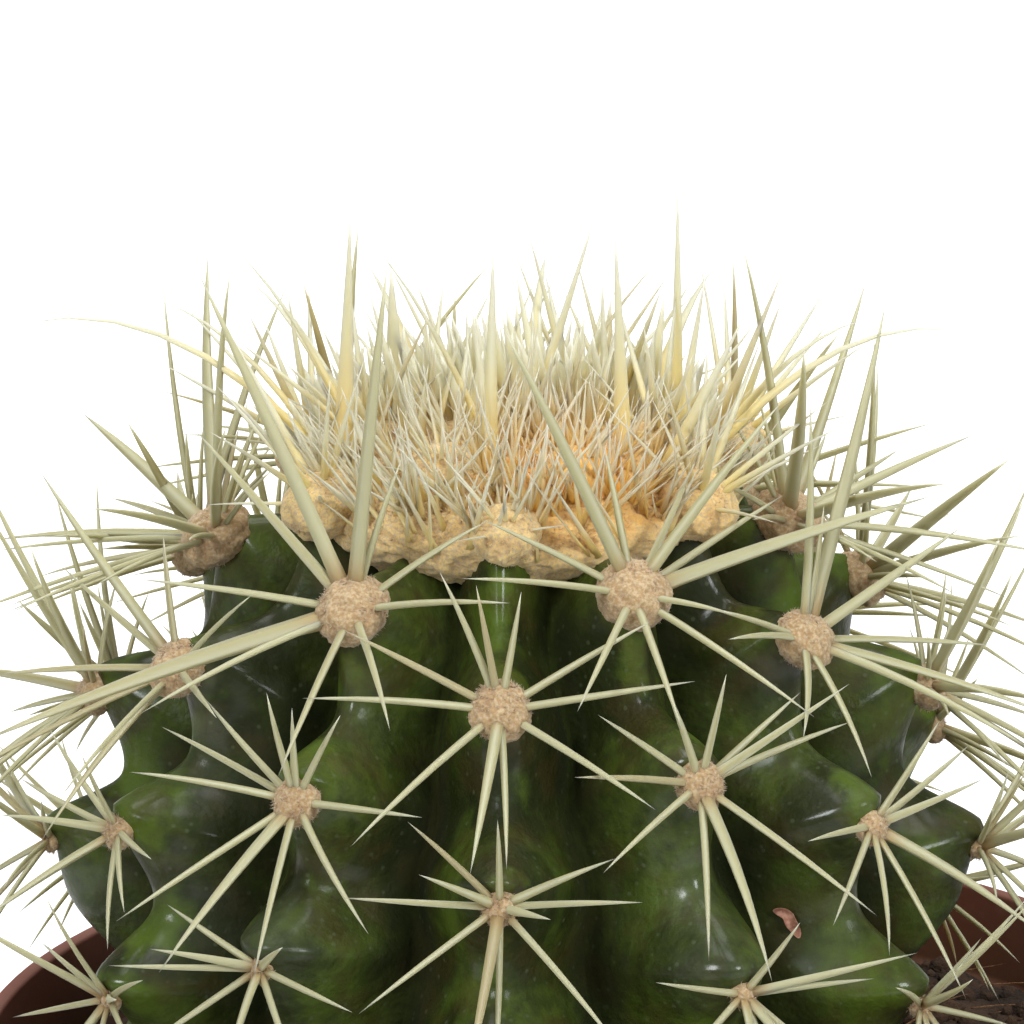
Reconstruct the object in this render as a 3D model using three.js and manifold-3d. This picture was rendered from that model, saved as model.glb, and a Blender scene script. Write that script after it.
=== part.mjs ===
// A young round cactus with straw-coloured spines, in a plain nursery pot.
// Millimetres and degrees. +Z is up, -Y is the front, and the origin is the middle of
// the pot's underside.
import * as THREE from 'three';
import Module from 'manifold-3d';
import { mergeVertices } from 'three/addons/utils/BufferGeometryUtils.js';

const wasm = await Module();
wasm.setup();

const GAP = 0.3; // left between two pieces that touch
const STEEP_GAP = 0.45; // measured up and out, it leaves about GAP beside a steep groove

// Pot
const POT_HEIGHT = 95;
const RIM_RADIUS = 60;
const RIM_BAND = 10;
const RIM_PROUD = 2.2;
const FOOT_RADIUS = 43;
const POT_WALL = 1.6;
const POT_SIDES = 44;
const PAD_RADIUS = 12; // the flat middle of the underside
const FOOT_WIDTH = 8;
const CHANNEL_HEIGHT = 2.5; // how far the ring between pad and foot is raised
const DRAIN_HOLES = 8;
const DRAIN_RADIUS = 3.5;
const DRAIN_CIRCLE = 24;

// Soil
const SOIL_LEVEL = 87;
const SOIL_LUMP = 0.8;

// Body: an upright half-ellipse spun into ribs, standing a little left of the pot's middle
const BODY_X = -8;
const BODY_RADIUS = 46.5;
const WAIST_HEIGHT = 104; // height of the widest ring
const TOP_HALF = 53.2;
const BOTTOM_HALF = 42;
const RIBS = 13;
const HALF_RIBS = (RIBS - 1) / 2; // ribs are numbered from -6 to 6, and 0 is in front
const FIRST_RIB = -2.3; // bearing of the front rib, anticlockwise from the front
const RIB_STEP = 360 / RIBS;
const GROOVE_DEPTH = 13.5;
const GROOVE_ROUND = 0.35; // how round the ridge is, as a share of half a rib
const GROOVE_WANDER = 0.07; // how far a groove swings between two ribs, in ribs
const NOTCH_DEPTH = 6; // dip of the ridge between two areoles
const NOTCH_PLACE = 0.56; // how far down from one tubercle's tip to the next the dip lies
const TIP_ABOVE_AREOLE = 0.12; // the tip of a tubercle lies this share of a row higher
const NOTCH_SHARPNESS = 0.6; // 0 for a round tubercle, 1 for a pointed one
const POLE_RADIUS = 8; // nearer to the axis than this, grooves run out level
const CROWN_DIP = 5;
const CROWN_RADIUS = 18;
const FULL_RIBS_ACROSS = 0.72; // of the body's radius, from where the ribs fade inwards
const ROOT_TAPER = 35; // degrees below the waist where the ribs start to fade
const SUNKEN_RIBS = [3, -3, 4, -4]; // whose ridges fall back below their last areole
const SUNKEN_DEPTH = 5;
const SUNKEN_LATITUDES = [10, -4]; // where they start to fall back, and where they have

// Areoles, counted down each rib from the crown's edge
const FIRST_LATITUDE = 63.2;
const ROW_STEP = 21.9;
const ROW_EASE = 0.65;
const REGULAR_RIBS = 3; // ribs past this one, on either side, creep
const ROW_CREEP = 0.25; // by this share of a row at the back
const AREOLE_TILT = 8; // they face a little higher than the ridge does
const EVEN_ROWS = [1, 2, 3, 4];
const ODD_ROWS = [0.5, 1.5, 2.5, 3.5];

// Spines
const SPINE_SIDES = 3;
const RADIAL_WIDTH = 1.15;
const CENTRAL_WIDTH = 1.75;
const MID_WIDTH = 0.72; // width half way along, as a share of the base's
const STOUT_WIDTH = 1.3; // a spine wider than this is modelled with its bend
const SHORTEST_SPINE = 5;

// How far an areole grew from its regular place: [degrees anticlockwise, mm up].
const STRAYED = {
  '0,0': [-2, 0], '0,2': [0.4, 0], '-1,0.5': [-1.2, -0.3], '-1,1.5': [0.2, -1],
  '-1,2.5': [-0.9, 1], '1,0.5': [-1.8, 1.2], '1,1.5': [0, 0.8], '1,2.5': [1.6, -0.8],
  '-2,0': [-1.9, 0], '-2,1': [-4, -1.5], '-2,2': [-1.4, 0], '-2,3': [3, 2],
  '2,1': [1.4, 2], '2,2': [-2, 2], '2,3': [1.5, 1.4], '3,0.5': [1.2, 2], '3,1.5': [4, 0],
  '3,2.5': [-1, 2], '-3,0.5': [-1.6, 0], '-3,1.5': [-4, -1.5], '-3,2.5': [3, 2],
  '4,4': [0, -9], '-4,4': [0, -9], '4,5': [0, -6], '-4,5': [0, -6],
  '3,3.5': [0, -13], '-3,3.5': [0, -13], '3,4.5': [0, -8], '-3,4.5': [0, -8],
  '3,5.5': [0, -3], '-3,5.5': [0, -3],
};
const BURIED = ['3,3.5', '-3,3.5', '4,4', '-4,4']; // areoles that grew down to the soil

// The front areoles as they grew: clock directions of the radial spines, seen from
// outside with the crown at twelve, and [clock, lift, length] of the central spines.
const GROWN = {
  '0,1': {
    radials: [330, 345, 15, 65, 90, 130, 176, 215, 265, 290],
    centrals: [[184, 28, 25]],
  },
  '0,2': {
    radials: [0, 310, 270, 230, 180, 140, 90],
    centrals: [[188, 30, 20], [285, 45, 10], [70, 25, 12], [110, 45, 7]],
  },
  '-1,0.5': {
    radials: [15, 50, 90, 138, 165, 208, 255],
    centrals: [[295, 35, 22], [315, 40, 34], [5, 50, 32], [222, 10, 36]],
  },
  '-1,1.5': {
    radials: [305, 285, 265, 215, 167, 130, 90, 40, 355],
    centrals: [[190, 22, 21], [10, 45, 10]],
  },
  '-1,2.5': {
    radials: [295, 260, 225, 180, 135, 98],
    centrals: [[270, 30, 10], [160, 40, 12], [65, 45, 9]],
  },
  '1,0.5': {
    radials: [355, 40, 70, 160, 195, 218, 265, 300],
    centrals: [[325, 45, 28], [65, 50, 22], [90, 17, 29], [150, 30, 12]],
  },
  '1,1.5': {
    radials: [10, 60, 80, 150, 200, 240, 275, 305],
    centrals: [[190, 25, 24], [325, 45, 12], [70, 30, 16]],
  },
  '1,2.5': {
    radials: [285, 30, 92, 140, 240, 180],
    centrals: [[85, 20, 16], [200, 35, 14], [160, 30, 13]],
  },
  '-2,1': {
    radials: [325, 342, 50, 98, 150, 200, 235],
    centrals: [[289, 30, 26], [161, 11, 22], [275, 25, 18]],
  },
  '-2,2': {
    radials: [20, 90, 110, 128, 270, 320],
    centrals: [[217, 12, 18], [198, 28, 16], [250, 35, 12]],
  },
  '2,1': {
    radials: [20, 290, 275, 238, 215, 120],
    centrals: [[10, 45, 22], [36, 42, 32], [90, 35, 19], [150, 20, 24], [170, 22, 24]],
  },
  '2,2': {
    radials: [35, 75, 275, 245, 225, 190],
    centrals: [[148, 18, 19], [90, 28, 12]],
  },
};
const FIRST_PLACED = Object.keys(GROWN);

const radians = THREE.MathUtils.degToRad;
const clamp = THREE.MathUtils.clamp;
const point = (x, y, z) => new THREE.Vector3(x, y, z);

// A repeatable stand-in for chance, from 0 to 1.
function chance(seed) {
  const value = Math.sin(seed * 12.9898) * 43758.5453;
  return value - Math.floor(value);
}

const spread = (seed) => 2 * chance(seed) - 1;

// ---- Body surface ------------------------------------------------------------------

// The spun outline at a latitude in degrees: radius, height and outward normal.
function outline(latitude) {
  const across = Math.cos(radians(latitude));
  const up = Math.sin(radians(latitude));
  const half = up >= 0 ? TOP_HALF : BOTTOM_HALF;
  const radius = BODY_RADIUS * across;
  let height = WAIST_HEIGHT + half * up;
  if (up > 0 && radius < CROWN_RADIUS) {
    height -= CROWN_DIP * (1 - (radius / CROWN_RADIUS) ** 2) ** 2;
  }
  const normal = new THREE.Vector2(across / BODY_RADIUS, up / half).normalize();
  return { radius, height, normal };
}

// Latitude of a row of areoles. Rows of odd ribs lie half way between those of even ones.
const rowLatitude = (row) => FIRST_LATITUDE - ROW_STEP * row + ROW_EASE * row * row;

// At the back the rows creep round, so that the thirteenth rib still alternates.
function rowShift(rib) {
  const back = Math.max(0, Math.abs(rib) - REGULAR_RIBS) / (HALF_RIBS - REGULAR_RIBS);
  return ROW_CREEP * back * Math.sign(rib);
}

// Latitude and bearing, in ribs from the front rib, of an areole.
function areolePlace(rib, row) {
  const [turn, rise] = STRAYED[`${rib},${row}`] ?? [0, 0];
  const regular = rowLatitude(row + rowShift(rib));
  const half = regular >= 0 ? TOP_HALF : BOTTOM_HALF;
  const share = Math.sin(radians(regular)) + rise / half;
  const latitude = Math.asin(clamp(share, -1, 1)) * 180 / Math.PI;
  return { latitude, place: rib + turn / RIB_STEP };
}

// Areoles of every rib from above the crown's edge to below the soil.
const LADDERS = new Map();
for (const rib of ribNumbers()) {
  const first = rib % 2 === 0 ? 0 : 0.5;
  const rows = [-1, 0, 1, 2, 3, 4, 5, 6].map((step) => step + first);
  LADDERS.set(rib, rows.map((row) => areolePlace(rib, row)));
}

// The areoles next above and below a latitude, and how far down it lies between them.
function between(rib, latitude) {
  const ladder = LADDERS.get(rib);
  let i = 0;
  while (i < ladder.length - 2 && ladder[i + 1].latitude > latitude) i += 1;
  const [above, below] = [ladder[i], ladder[i + 1]];
  const part = (above.latitude - latitude) / (above.latitude - below.latitude);
  return { above, below, part: clamp(part, 0, 1) };
}

// 0 on the tip of a tubercle and 1 at the bottom of the notch below it.
function notch(rib, latitude) {
  const down = (between(rib, latitude).part + TIP_ABOVE_AREOLE) % 1;
  const turn = down < NOTCH_PLACE
    ? 0.5 * down / NOTCH_PLACE
    : 0.5 + 0.5 * (down - NOTCH_PLACE) / (1 - NOTCH_PLACE);
  const wave = Math.sin(Math.PI * turn);
  return NOTCH_SHARPNESS * wave + (1 - NOTCH_SHARPNESS) * wave ** 2;
}

// Bearing of a ridge, in ribs from the front rib: it runs from areole to areole.
function ridgePlace(rib, latitude) {
  const { above, below, part } = between(rib, latitude);
  return above.place + (below.place - above.place) * part;
}

// How fully the ribs are formed: they fade into the crown and the root.
function ribStrength(latitude) {
  const crown = clamp(Math.cos(radians(latitude)) / FULL_RIBS_ACROSS, 0, 1);
  const root = clamp((latitude + 90) / (90 - ROOT_TAPER), 0, 1);
  return Math.min(crown, root);
}

// Where the groove lies between a rib and the next, in ribs from the front rib.
function groovePlace(rib, latitude) {
  const next = wrapRib(rib + 1);
  const ridges = [ridgePlace(rib, latitude), ridgePlace(next, latitude) + rib + 1 - next];
  const swing = GROOVE_WANDER * (notch(next, latitude) - notch(rib, latitude)) / 2;
  return (ridges[0] + ridges[1]) / 2 + swing;
}

// How far a ridge has fallen back on its way down to the soil.
function sunken(rib, latitude) {
  if (!SUNKEN_RIBS.includes(rib)) return 0;
  const [high, low] = SUNKEN_LATITUDES;
  return SUNKEN_DEPTH * (1 - THREE.MathUtils.smoothstep(latitude, low, high));
}

// Depth of the surface under the outline. share runs from -1 to 1, groove to groove.
function ribDepth(rib, share, latitude) {
  const away = Math.abs(share);
  const arc = Math.hypot(away, GROOVE_ROUND) - GROOVE_ROUND;
  const groove = GROOVE_DEPTH * arc / (Math.hypot(1, GROOVE_ROUND) - GROOVE_ROUND);
  const dip = (NOTCH_DEPTH * notch(rib, latitude) + sunken(rib, latitude)) * (1 - away ** 2);
  return ribStrength(latitude) * (groove + dip);
}

function wrapRib(rib) {
  return ((rib + HALF_RIBS) % RIBS + RIBS) % RIBS - HALF_RIBS;
}

function ribNumbers() {
  return Array.from({ length: RIBS }, (_, i) => i - HALF_RIBS);
}

// A point at a depth under the outline, place being its bearing in ribs from the front
// rib. swell grows the whole body outwards.
function skinPoint(place, latitude, depth, swell = 0) {
  const { radius, height, normal } = outline(latitude);
  const bearing = radians(FIRST_RIB + place * RIB_STEP);
  const out = radius - (depth - swell) * normal.x;
  const fade = clamp(radius / POLE_RADIUS, 0, 1);
  return point(
    BODY_X + out * Math.sin(bearing),
    -out * Math.cos(bearing),
    height - (depth * fade - swell) * normal.y,
  );
}

// Depth of the skin under the outline at any bearing, in ribs from the front rib.
function depthAt(place, latitude) {
  let rib = Math.floor(place);
  if (place > grooveFrom(rib, latitude)) rib += 1;
  if (place < grooveFrom(rib - 1, latitude)) rib -= 1;
  const ridge = ridgePlace(wrapRib(rib), latitude) + rib - wrapRib(rib);
  const away = place - ridge;
  const groove = away >= 0 ? grooveFrom(rib, latitude) : grooveFrom(rib - 1, latitude);
  return ribDepth(wrapRib(rib), away / (groove - ridge), latitude);
}

// The groove after any rib number, counted on past the back.
function grooveFrom(rib, latitude) {
  return groovePlace(wrapRib(rib), latitude) + rib - wrapRib(rib);
}

// Height of a point above the skin, measured towards the body's middle.
function heightAboveSkin(at) {
  const half = at.z >= WAIST_HEIGHT ? TOP_HALF : BOTTOM_HALF;
  const across = Math.hypot(at.x - BODY_X, at.y);
  const latitude = Math.atan2((at.z - WAIST_HEIGHT) / half, across / BODY_RADIUS);
  const reach = Math.hypot(across / BODY_RADIUS, (at.z - WAIST_HEIGHT) / half);
  const middle = Math.hypot(across, at.z - WAIST_HEIGHT);
  const bearing = Math.atan2(at.x - BODY_X, -at.y) * 180 / Math.PI;
  const place = (bearing - FIRST_RIB) / RIB_STEP;
  return middle * (1 - 1 / reach) + depthAt(place, latitude * 180 / Math.PI);
}

const BODY_LATITUDES = [
  -90, -66, -46, -34, -26, -20, -14, -8, -2, 4, 10, 16, 22, 28, 34, 40, 46, 52, 58, 65,
  75, 90,
];
const STEPS_PER_RIB = 6;

// One ring of places round the body, with every ridge and groove on a place of its own.
function ringPlaces(latitude) {
  const half = STEPS_PER_RIB / 2;
  const places = [];
  for (const rib of ribNumbers()) {
    const ridge = ridgePlace(rib, latitude);
    const groove = groovePlace(rib, latitude);
    const next = ridgePlace(wrapRib(rib + 1), latitude) + rib + 1 - wrapRib(rib + 1);
    for (let step = 0; step < half; step += 1) {
      places.push(ridge + (groove - ridge) * step / half);
    }
    for (let step = 0; step < half; step += 1) {
      places.push(groove + (next - groove) * step / half);
    }
  }
  return places;
}

// Rings of points from one pole to the other, closed into a solid.
function closeRings(rings, bottom, top) {
  const positions = [bottom, ...rings.flat(), top].flatMap((p) => [p.x, p.y, p.z]);
  const count = rings[0].length;
  const last = 1 + rings.length * count;
  const index = [];
  for (let i = 0; i < count; i += 1) {
    const next = (i + 1) % count;
    index.push(0, 1 + next, 1 + i);
    index.push(last, last - count + i, last - count + next);
    for (let ring = 0; ring < rings.length - 1; ring += 1) {
      const low = 1 + ring * count;
      index.push(low + i, low + next, low + count + next);
      index.push(low + i, low + count + next, low + count + i);
    }
  }
  const geometry = new THREE.BufferGeometry();
  geometry.setAttribute('position', new THREE.Float32BufferAttribute(positions, 3));
  geometry.setIndex(index);
  return geometry;
}

// The cactus body, or the same body grown outwards by swell.
function bodyGeometry(swell) {
  const rings = BODY_LATITUDES.slice(1, -1).map((latitude) => ringPlaces(latitude)
    .map((place) => skinPoint(place, latitude, depthAt(place, latitude), swell)));
  return closeRings(rings, skinPoint(0, -90, 0, swell), skinPoint(0, 90, 0, swell));
}

// ---- Solids ------------------------------------------------------------------------

function toSolid(geometry) {
  const bare = geometry.clone();
  bare.deleteAttribute('normal');
  bare.deleteAttribute('uv');
  const merged = mergeVertices(bare, 1e-4);
  return new wasm.Manifold(new wasm.Mesh({
    numProp: 3,
    vertProperties: new Float32Array(merged.attributes.position.array),
    triVerts: new Uint32Array(merged.index.array),
  }));
}

function toGeometry(solid) {
  const mesh = solid.getMesh();
  const geometry = new THREE.BufferGeometry();
  const positions = new THREE.BufferAttribute(mesh.vertProperties, 3);
  geometry.setAttribute('position', positions);
  geometry.setIndex(new THREE.BufferAttribute(mesh.triVerts, 1));
  geometry.computeVertexNormals();
  return geometry;
}

// The largest of the bodies that a cut leaves.
function largestBody(solid) {
  return solid.decompose().reduce((a, b) => (a.volume() >= b.volume() ? a : b));
}

// A closed outline of [radius, height] points, spun about the pot's axis.
function spun(points, sides) {
  const profile = points.map(([radius, height]) => new THREE.Vector2(radius, height));
  const geometry = new THREE.LatheGeometry(profile, sides);
  geometry.rotateX(Math.PI / 2);
  return geometry;
}

// ---- Pot and soil ------------------------------------------------------------------

const BAND_BOTTOM = POT_HEIGHT - RIM_BAND;
const WALL_TOP_RADIUS = RIM_RADIUS - RIM_PROUD - 0.8;
const CHANNEL_INSIDE = PAD_RADIUS + 2;
const CHANNEL_OUTSIDE = FOOT_RADIUS - FOOT_WIDTH;

// Inside of the pot from the middle of the floor to the rim, or the outline of what
// fills it with some clearance all round.
function potInside(clearance = 0) {
  const floor = POT_WALL + clearance;
  const wall = POT_WALL + clearance;
  return [
    [0, floor],
    [PAD_RADIUS - 0.6 - clearance / 2, floor],
    [CHANNEL_INSIDE - 0.6 - clearance / 2, CHANNEL_HEIGHT + floor],
    [CHANNEL_OUTSIDE - 1.4 + clearance / 2, CHANNEL_HEIGHT + floor],
    [CHANNEL_OUTSIDE + 0.6 + clearance / 2, floor],
    [FOOT_RADIUS - wall - 0.6, floor],
    [WALL_TOP_RADIUS - wall, BAND_BOTTOM - 1],
    [RIM_RADIUS - wall - 0.9, BAND_BOTTOM + 1.2],
  ];
}

function potGeometry() {
  const outside = [
    [0, 0],
    [PAD_RADIUS, 0],
    [CHANNEL_INSIDE, CHANNEL_HEIGHT],
    [CHANNEL_OUTSIDE - 2, CHANNEL_HEIGHT],
    [CHANNEL_OUTSIDE, 0],
    [FOOT_RADIUS - 1, 0],
    [FOOT_RADIUS, 1],
    [WALL_TOP_RADIUS, BAND_BOTTOM],
    [RIM_RADIUS - 0.6, BAND_BOTTOM],
    [RIM_RADIUS, POT_HEIGHT - 0.6],
    [RIM_RADIUS - 0.6, POT_HEIGHT],
    [RIM_RADIUS - POT_WALL + 0.4, POT_HEIGHT],
    [RIM_RADIUS - POT_WALL, POT_HEIGHT - 0.6],
  ];
  return spun([...outside, ...potInside().reverse()], POT_SIDES);
}

function drainHole(number) {
  const drill = new THREE.CylinderGeometry(DRAIN_RADIUS, DRAIN_RADIUS, 20, 12);
  drill.rotateX(Math.PI / 2);
  drill.translate(DRAIN_CIRCLE, 0, 0);
  drill.rotateZ(2 * Math.PI * (number + 0.5) / DRAIN_HOLES);
  return toSolid(drill);
}

function pot() {
  let solid = toSolid(potGeometry());
  for (let hole = 0; hole < DRAIN_HOLES; hole += 1) {
    solid = solid.subtract(drainHole(hole));
  }
  return solid;
}

// Peat from the pot's floor to a lumpy top, with the foot of the plant set in it.
function soil(grownBody) {
  const fill = potInside(GAP).slice(0, 7);
  const edge = fill.pop()[0] - GAP;
  const top = [[edge, SOIL_LEVEL - 3], [53, SOIL_LEVEL], [45, SOIL_LEVEL], [36, SOIL_LEVEL]];
  const geometry = spun([...fill, ...top, [0, SOIL_LEVEL]], POT_SIDES);
  const places = geometry.attributes.position;
  for (let i = 0; i < places.count; i += 1) {
    const at = new THREE.Vector3().fromBufferAttribute(places, i);
    const wave = Math.sin(at.x * 0.9) * Math.cos(at.y * 0.8 + 1) + Math.sin(at.y * 0.37);
    const lump = at.z > SOIL_LEVEL - 1 ? SOIL_LUMP * wave : 0;
    places.setZ(i, at.z + lump);
  }
  return largestBody(toSolid(geometry).subtract(grownBody));
}

// ---- Areoles and their spines ------------------------------------------------------

// Middle of an areole, with the directions out, towards the crown and to the right.
function areoleFrame({ latitude, place }) {
  const { normal } = outline(latitude);
  const bearing = radians(FIRST_RIB + place * RIB_STEP);
  const away = point(Math.sin(bearing), -Math.cos(bearing), 0);
  const right = point(Math.cos(bearing), Math.sin(bearing), 0);
  const rise = Math.atan2(normal.y, normal.x) + radians(AREOLE_TILT);
  const out = away.clone().multiplyScalar(Math.cos(rise)).setZ(Math.sin(rise));
  const crown = away.clone().multiplyScalar(-Math.sin(rise)).setZ(Math.cos(rise));
  return { at: skinPoint(place, latitude, depthAt(place, latitude)), out, crown, right };
}

const padWidth = (row) => Math.max(3, 8 - 1.9 * row);

// A flattened tuft of wool, set on the skin.
function woolPad({ at, out, crown, right }, width) {
  const tuft = new THREE.SphereGeometry(1, 7, 3);
  tuft.rotateX(Math.PI / 2);
  tuft.scale(0.5 * width, 0.55 * width, 0.4 * width);
  tuft.applyMatrix4(new THREE.Matrix4().makeBasis(right, crown, out));
  const middle = at.clone().addScaledVector(out, 0.08 * width);
  tuft.translate(middle.x, middle.y, middle.z);
  return toSolid(tuft);
}

// A spine as three points from base to tip, with its width. It bends by sag, a share
// of its length, towards the body.
function spineLine(frame, { clock, lift, length, width, sag }) {
  const { at, out, crown, right } = frame;
  const turn = radians(clock);
  const rise = radians(lift);
  const flat = crown.clone().multiplyScalar(Math.cos(turn))
    .addScaledVector(right, Math.sin(turn));
  const along = flat.multiplyScalar(Math.cos(rise)).addScaledVector(out, Math.sin(rise));
  const base = at.clone().addScaledVector(out, 0.4);
  const place = (share) => base.clone().addScaledVector(along, length * share)
    .addScaledVector(out, length * sag * share * (1 - share));
  return { points: [place(0), place(0.5), place(1)], width };
}

function segmentGap(a, b, c, d) {
  const u = b.clone().sub(a);
  const v = d.clone().sub(c);
  const w = a.clone().sub(c);
  const flat = u.dot(u) * v.dot(v) - u.dot(v) ** 2;
  let s = 0;
  if (flat > 1e-9) s = clamp((u.dot(v) * v.dot(w) - v.dot(v) * u.dot(w)) / flat, 0, 1);
  const t = clamp((u.dot(v) * s + v.dot(w)) / v.dot(v), 0, 1);
  s = clamp((u.dot(v) * t - u.dot(w)) / u.dot(u), 0, 1);
  return w.addScaledVector(u, s).addScaledVector(v, -t).length();
}

function linesClear(one, other) {
  const room = (one.width + other.width) / 2 + GAP;
  for (const i of [0, 1]) {
    for (const j of [0, 1]) {
      const gap = segmentGap(...one.points.slice(i, i + 2), ...other.points.slice(j, j + 2));
      if (gap < room) return false;
    }
  }
  return true;
}

// Whether a spine keeps off the skin, the soil and the pot.
function standsFree({ points, width }) {
  const [base, middle, tip] = points;
  for (const share of [0.3, 0.5, 0.75, 1, 1.25, 1.5, 1.75, 2]) {
    const at = share < 1
      ? base.clone().lerp(middle, share)
      : middle.clone().lerp(tip, share - 1);
    if (heightAboveSkin(at) < width / 2 + GAP) return false;
    if (at.z < POT_HEIGHT + 1.5 && Math.hypot(at.x, at.y) > RIM_RADIUS - 5) return false;
    if (at.z < SOIL_LEVEL + 3) return false;
  }
  return true;
}

// Small turns and lifts that a spine may take to grow clear of the others.
const TURNS = [[0, 0], [0, 4], [5, 0], [-5, 0], [0, 8], [6, 5], [-6, 5], [0, 13], [11, 6],
  [-11, 6], [8, 12], [-8, 12], [0, 19], [14, 14], [-14, 14], [0, 26]];
const SHORTENED = [1, 0.82, 0.64, 0.48];
const placed = [];

function grow(areole, frame, spine) {
  for (const share of SHORTENED) {
    const length = spine.length * share;
    if (length < SHORTEST_SPINE) return null;
    for (const [turn, rise] of TURNS) {
      const clock = spine.clock + turn;
      const line = spineLine(frame, { ...spine, clock, lift: spine.lift + rise, length });
      const others = placed.filter((other) => other.areole !== areole);
      if (standsFree(line) && others.every((other) => linesClear(line, other))) {
        placed.push({ ...line, areole });
        return line;
      }
    }
  }
  return null;
}

// Radial spines: short towards the crown, long towards the soil.
function radialSpine(clock, row, seed) {
  const length = (20 - 3 * row) * (1 - 0.28 * Math.cos(radians(clock)));
  return {
    clock,
    lift: 16 + 5 * spread(seed),
    length: length * (1 + 0.08 * spread(seed + 0.5)),
    width: RADIAL_WIDTH * (1 - 0.07 * row),
    sag: 0.1,
  };
}

function centralSpine([clock, lift, length]) {
  return { clock, lift, length, width: length > 15 ? CENTRAL_WIDTH : RADIAL_WIDTH, sag: 0.12 };
}

// Directions for an areole that the front doesn't show.
function usualSpines(rib, row) {
  const seed = 17 * rib + 101 * row;
  const count = clamp(Math.round(10.2 - row), 5, 9) - (row > 3 ? 1 : 0);
  const radials = [];
  for (let i = 0; i < count; i += 1) {
    radials.push(20 + 360 * i / count + 9 * spread(seed + i));
  }
  const long = Math.max(9, (Math.abs(rib) > 4 ? 26 : 31) - 6 * row);
  const down = [195 + 25 * spread(seed + 20), 24 + 6 * spread(seed + 21), 0.85 * long];
  const left = [305 + 15 * spread(seed + 22), 42, long];
  const right = [55 + 15 * spread(seed + 23), 42, 0.9 * long];
  const up = [5 + 12 * spread(seed + 24), 50, long];
  const centrals = [down, left, right, up].slice(0, clamp(Math.round(4.6 - row), 0, 4));
  return { radials, centrals };
}

function areoleLines(rib, row) {
  const name = `${rib},${row}`;
  const frame = areoleFrame(areolePlace(rib, row));
  const { radials, centrals } = GROWN[name] ?? usualSpines(rib, row);
  const seed = 31 * rib + 7 * row;
  const spines = [
    ...centrals.map(centralSpine),
    ...radials.map((clock, i) => radialSpine(clock, row, seed + i)),
  ];
  return spines.map((spine) => grow(name, frame, spine)).filter(Boolean);
}

// A tapering three-sided needle along a spine's points. Only a stout one has a bend.
function needle({ points, width }) {
  const widths = [width, width * MID_WIDTH];
  const along = points[2].clone().sub(points[0]).normalize();
  const side = point(-along.y, along.x, 0.001).normalize();
  const other = along.clone().cross(side);
  const bends = width < STOUT_WIDTH ? points.slice(0, 1) : points.slice(0, 2);
  const rings = bends.map((at, i) => {
    const corners = [];
    for (let corner = 0; corner < SPINE_SIDES; corner += 1) {
      const turn = 2 * Math.PI * corner / SPINE_SIDES;
      corners.push(at.clone().addScaledVector(side, widths[i] / 2 * Math.cos(turn))
        .addScaledVector(other, widths[i] / 2 * Math.sin(turn)));
    }
    return corners;
  });
  return toSolid(closeRings(rings, points[0], points[2]));
}

// ---- Crown -------------------------------------------------------------------------

const CROWN_RINGS = [
  { latitude: 63.2, ribs: [0, 2, -2, 4, -4, 6, -6], wool: 8.5, spines: 6, length: 18 },
  { latitude: 73, ribs: [1, -1, 3, -3, 5, -5], wool: 8, spines: 6, length: 17 },
  { latitude: 81, ribs: [0, 2, -2, 4, -4, 6], wool: 6, spines: 5, length: 13 },
];
const FELT_RADIUS = 21;
const FELT_HALF = 7;
const FELT_TOP = 157;

// The tall blades of the crown: foot from the crown's middle, lean to the right and
// back, rise, width and bend.
const BLADES = [
  [-16, -6, 1, 0, 26, 2], [-1, -4, -12, -1, 23, 1.5], [-9, -3, -4.5, -2, 18, 1.6],
  [-2.5, -11, 0.5, -2, 24, 2], [-2, -7, -2, -1, 18, 1.6], [-0.5, -2, 8, -1, 26, 1.6],
  [10, -7, -1, -1.5, 24, 2], [8.5, 2, -0.5, 0, 18, 1.5], [2, 4, 11.5, 1, 19, 1.4],
  [15, 3, 0, 0, 26, 1.6], [14.5, -3, 3, -1, 19, 1.5], [16.5, -6, 8, -2, 21, 1.5],
  [13, -9, 8, -2, 17, 1.6], [16, -6, 24, -3, 15, 2], [17, -3, 15, -2, 15, 1.8],
  [-16, -5, -29, -2, 15, 1.8], [-17, -2, -16, 0, 16, 1.5], [-14, 0, -12, 0, 20, 1.5],
  [-12, -3, -6, -1, 14, 1.4], [3, 9, -3, 5, 15, 1.8], [-8, 12, -6, 6, 14, 1.8],
  [12, 12, 7, 7, 14, 1.8], [-15, 8, -10, 5, 14, 1.6], [1, 15, 2, 12, 13, 1.8],
];
const BLADE_BEND = 0.18;

function crownSpines(ring, rib, index) {
  const seed = 53 * index + 11 * rib;
  const spines = [];
  for (let i = 0; i < ring.spines; i += 1) {
    const outer = i % 3 === 0;
    spines.push({
      clock: 360 * i / ring.spines + 14 * spread(seed + i),
      lift: (outer ? 30 : 60) + 9 * spread(seed + i + 40),
      length: ring.length * (outer ? 0.75 : 1) * (1 + 0.15 * spread(seed + i + 80)),
      width: CENTRAL_WIDTH * (outer ? 0.7 : 0.9),
      sag: 0.08,
    });
  }
  return spines;
}

function crownFrame(rib, latitude) {
  const frame = areoleFrame({ latitude, place: rib });
  frame.at.addScaledVector(frame.out, 0.6);
  return frame;
}

// A blade stands on the wool above its foot.
function bladeLine([footX, footY, right, back, rise, width]) {
  const across = Math.hypot(footX, footY);
  const { height } = outline(Math.acos(across / BODY_RADIUS) * 180 / Math.PI);
  const foot = point(BODY_X + footX, footY, height - 1);
  const reach = point(right, back, rise);
  const bulge = point(0, 0, Math.hypot(right, back) * BLADE_BEND);
  const middle = foot.clone().addScaledVector(reach, 0.5).add(bulge);
  return { points: [foot, middle, foot.clone().add(reach)], width };
}

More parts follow.
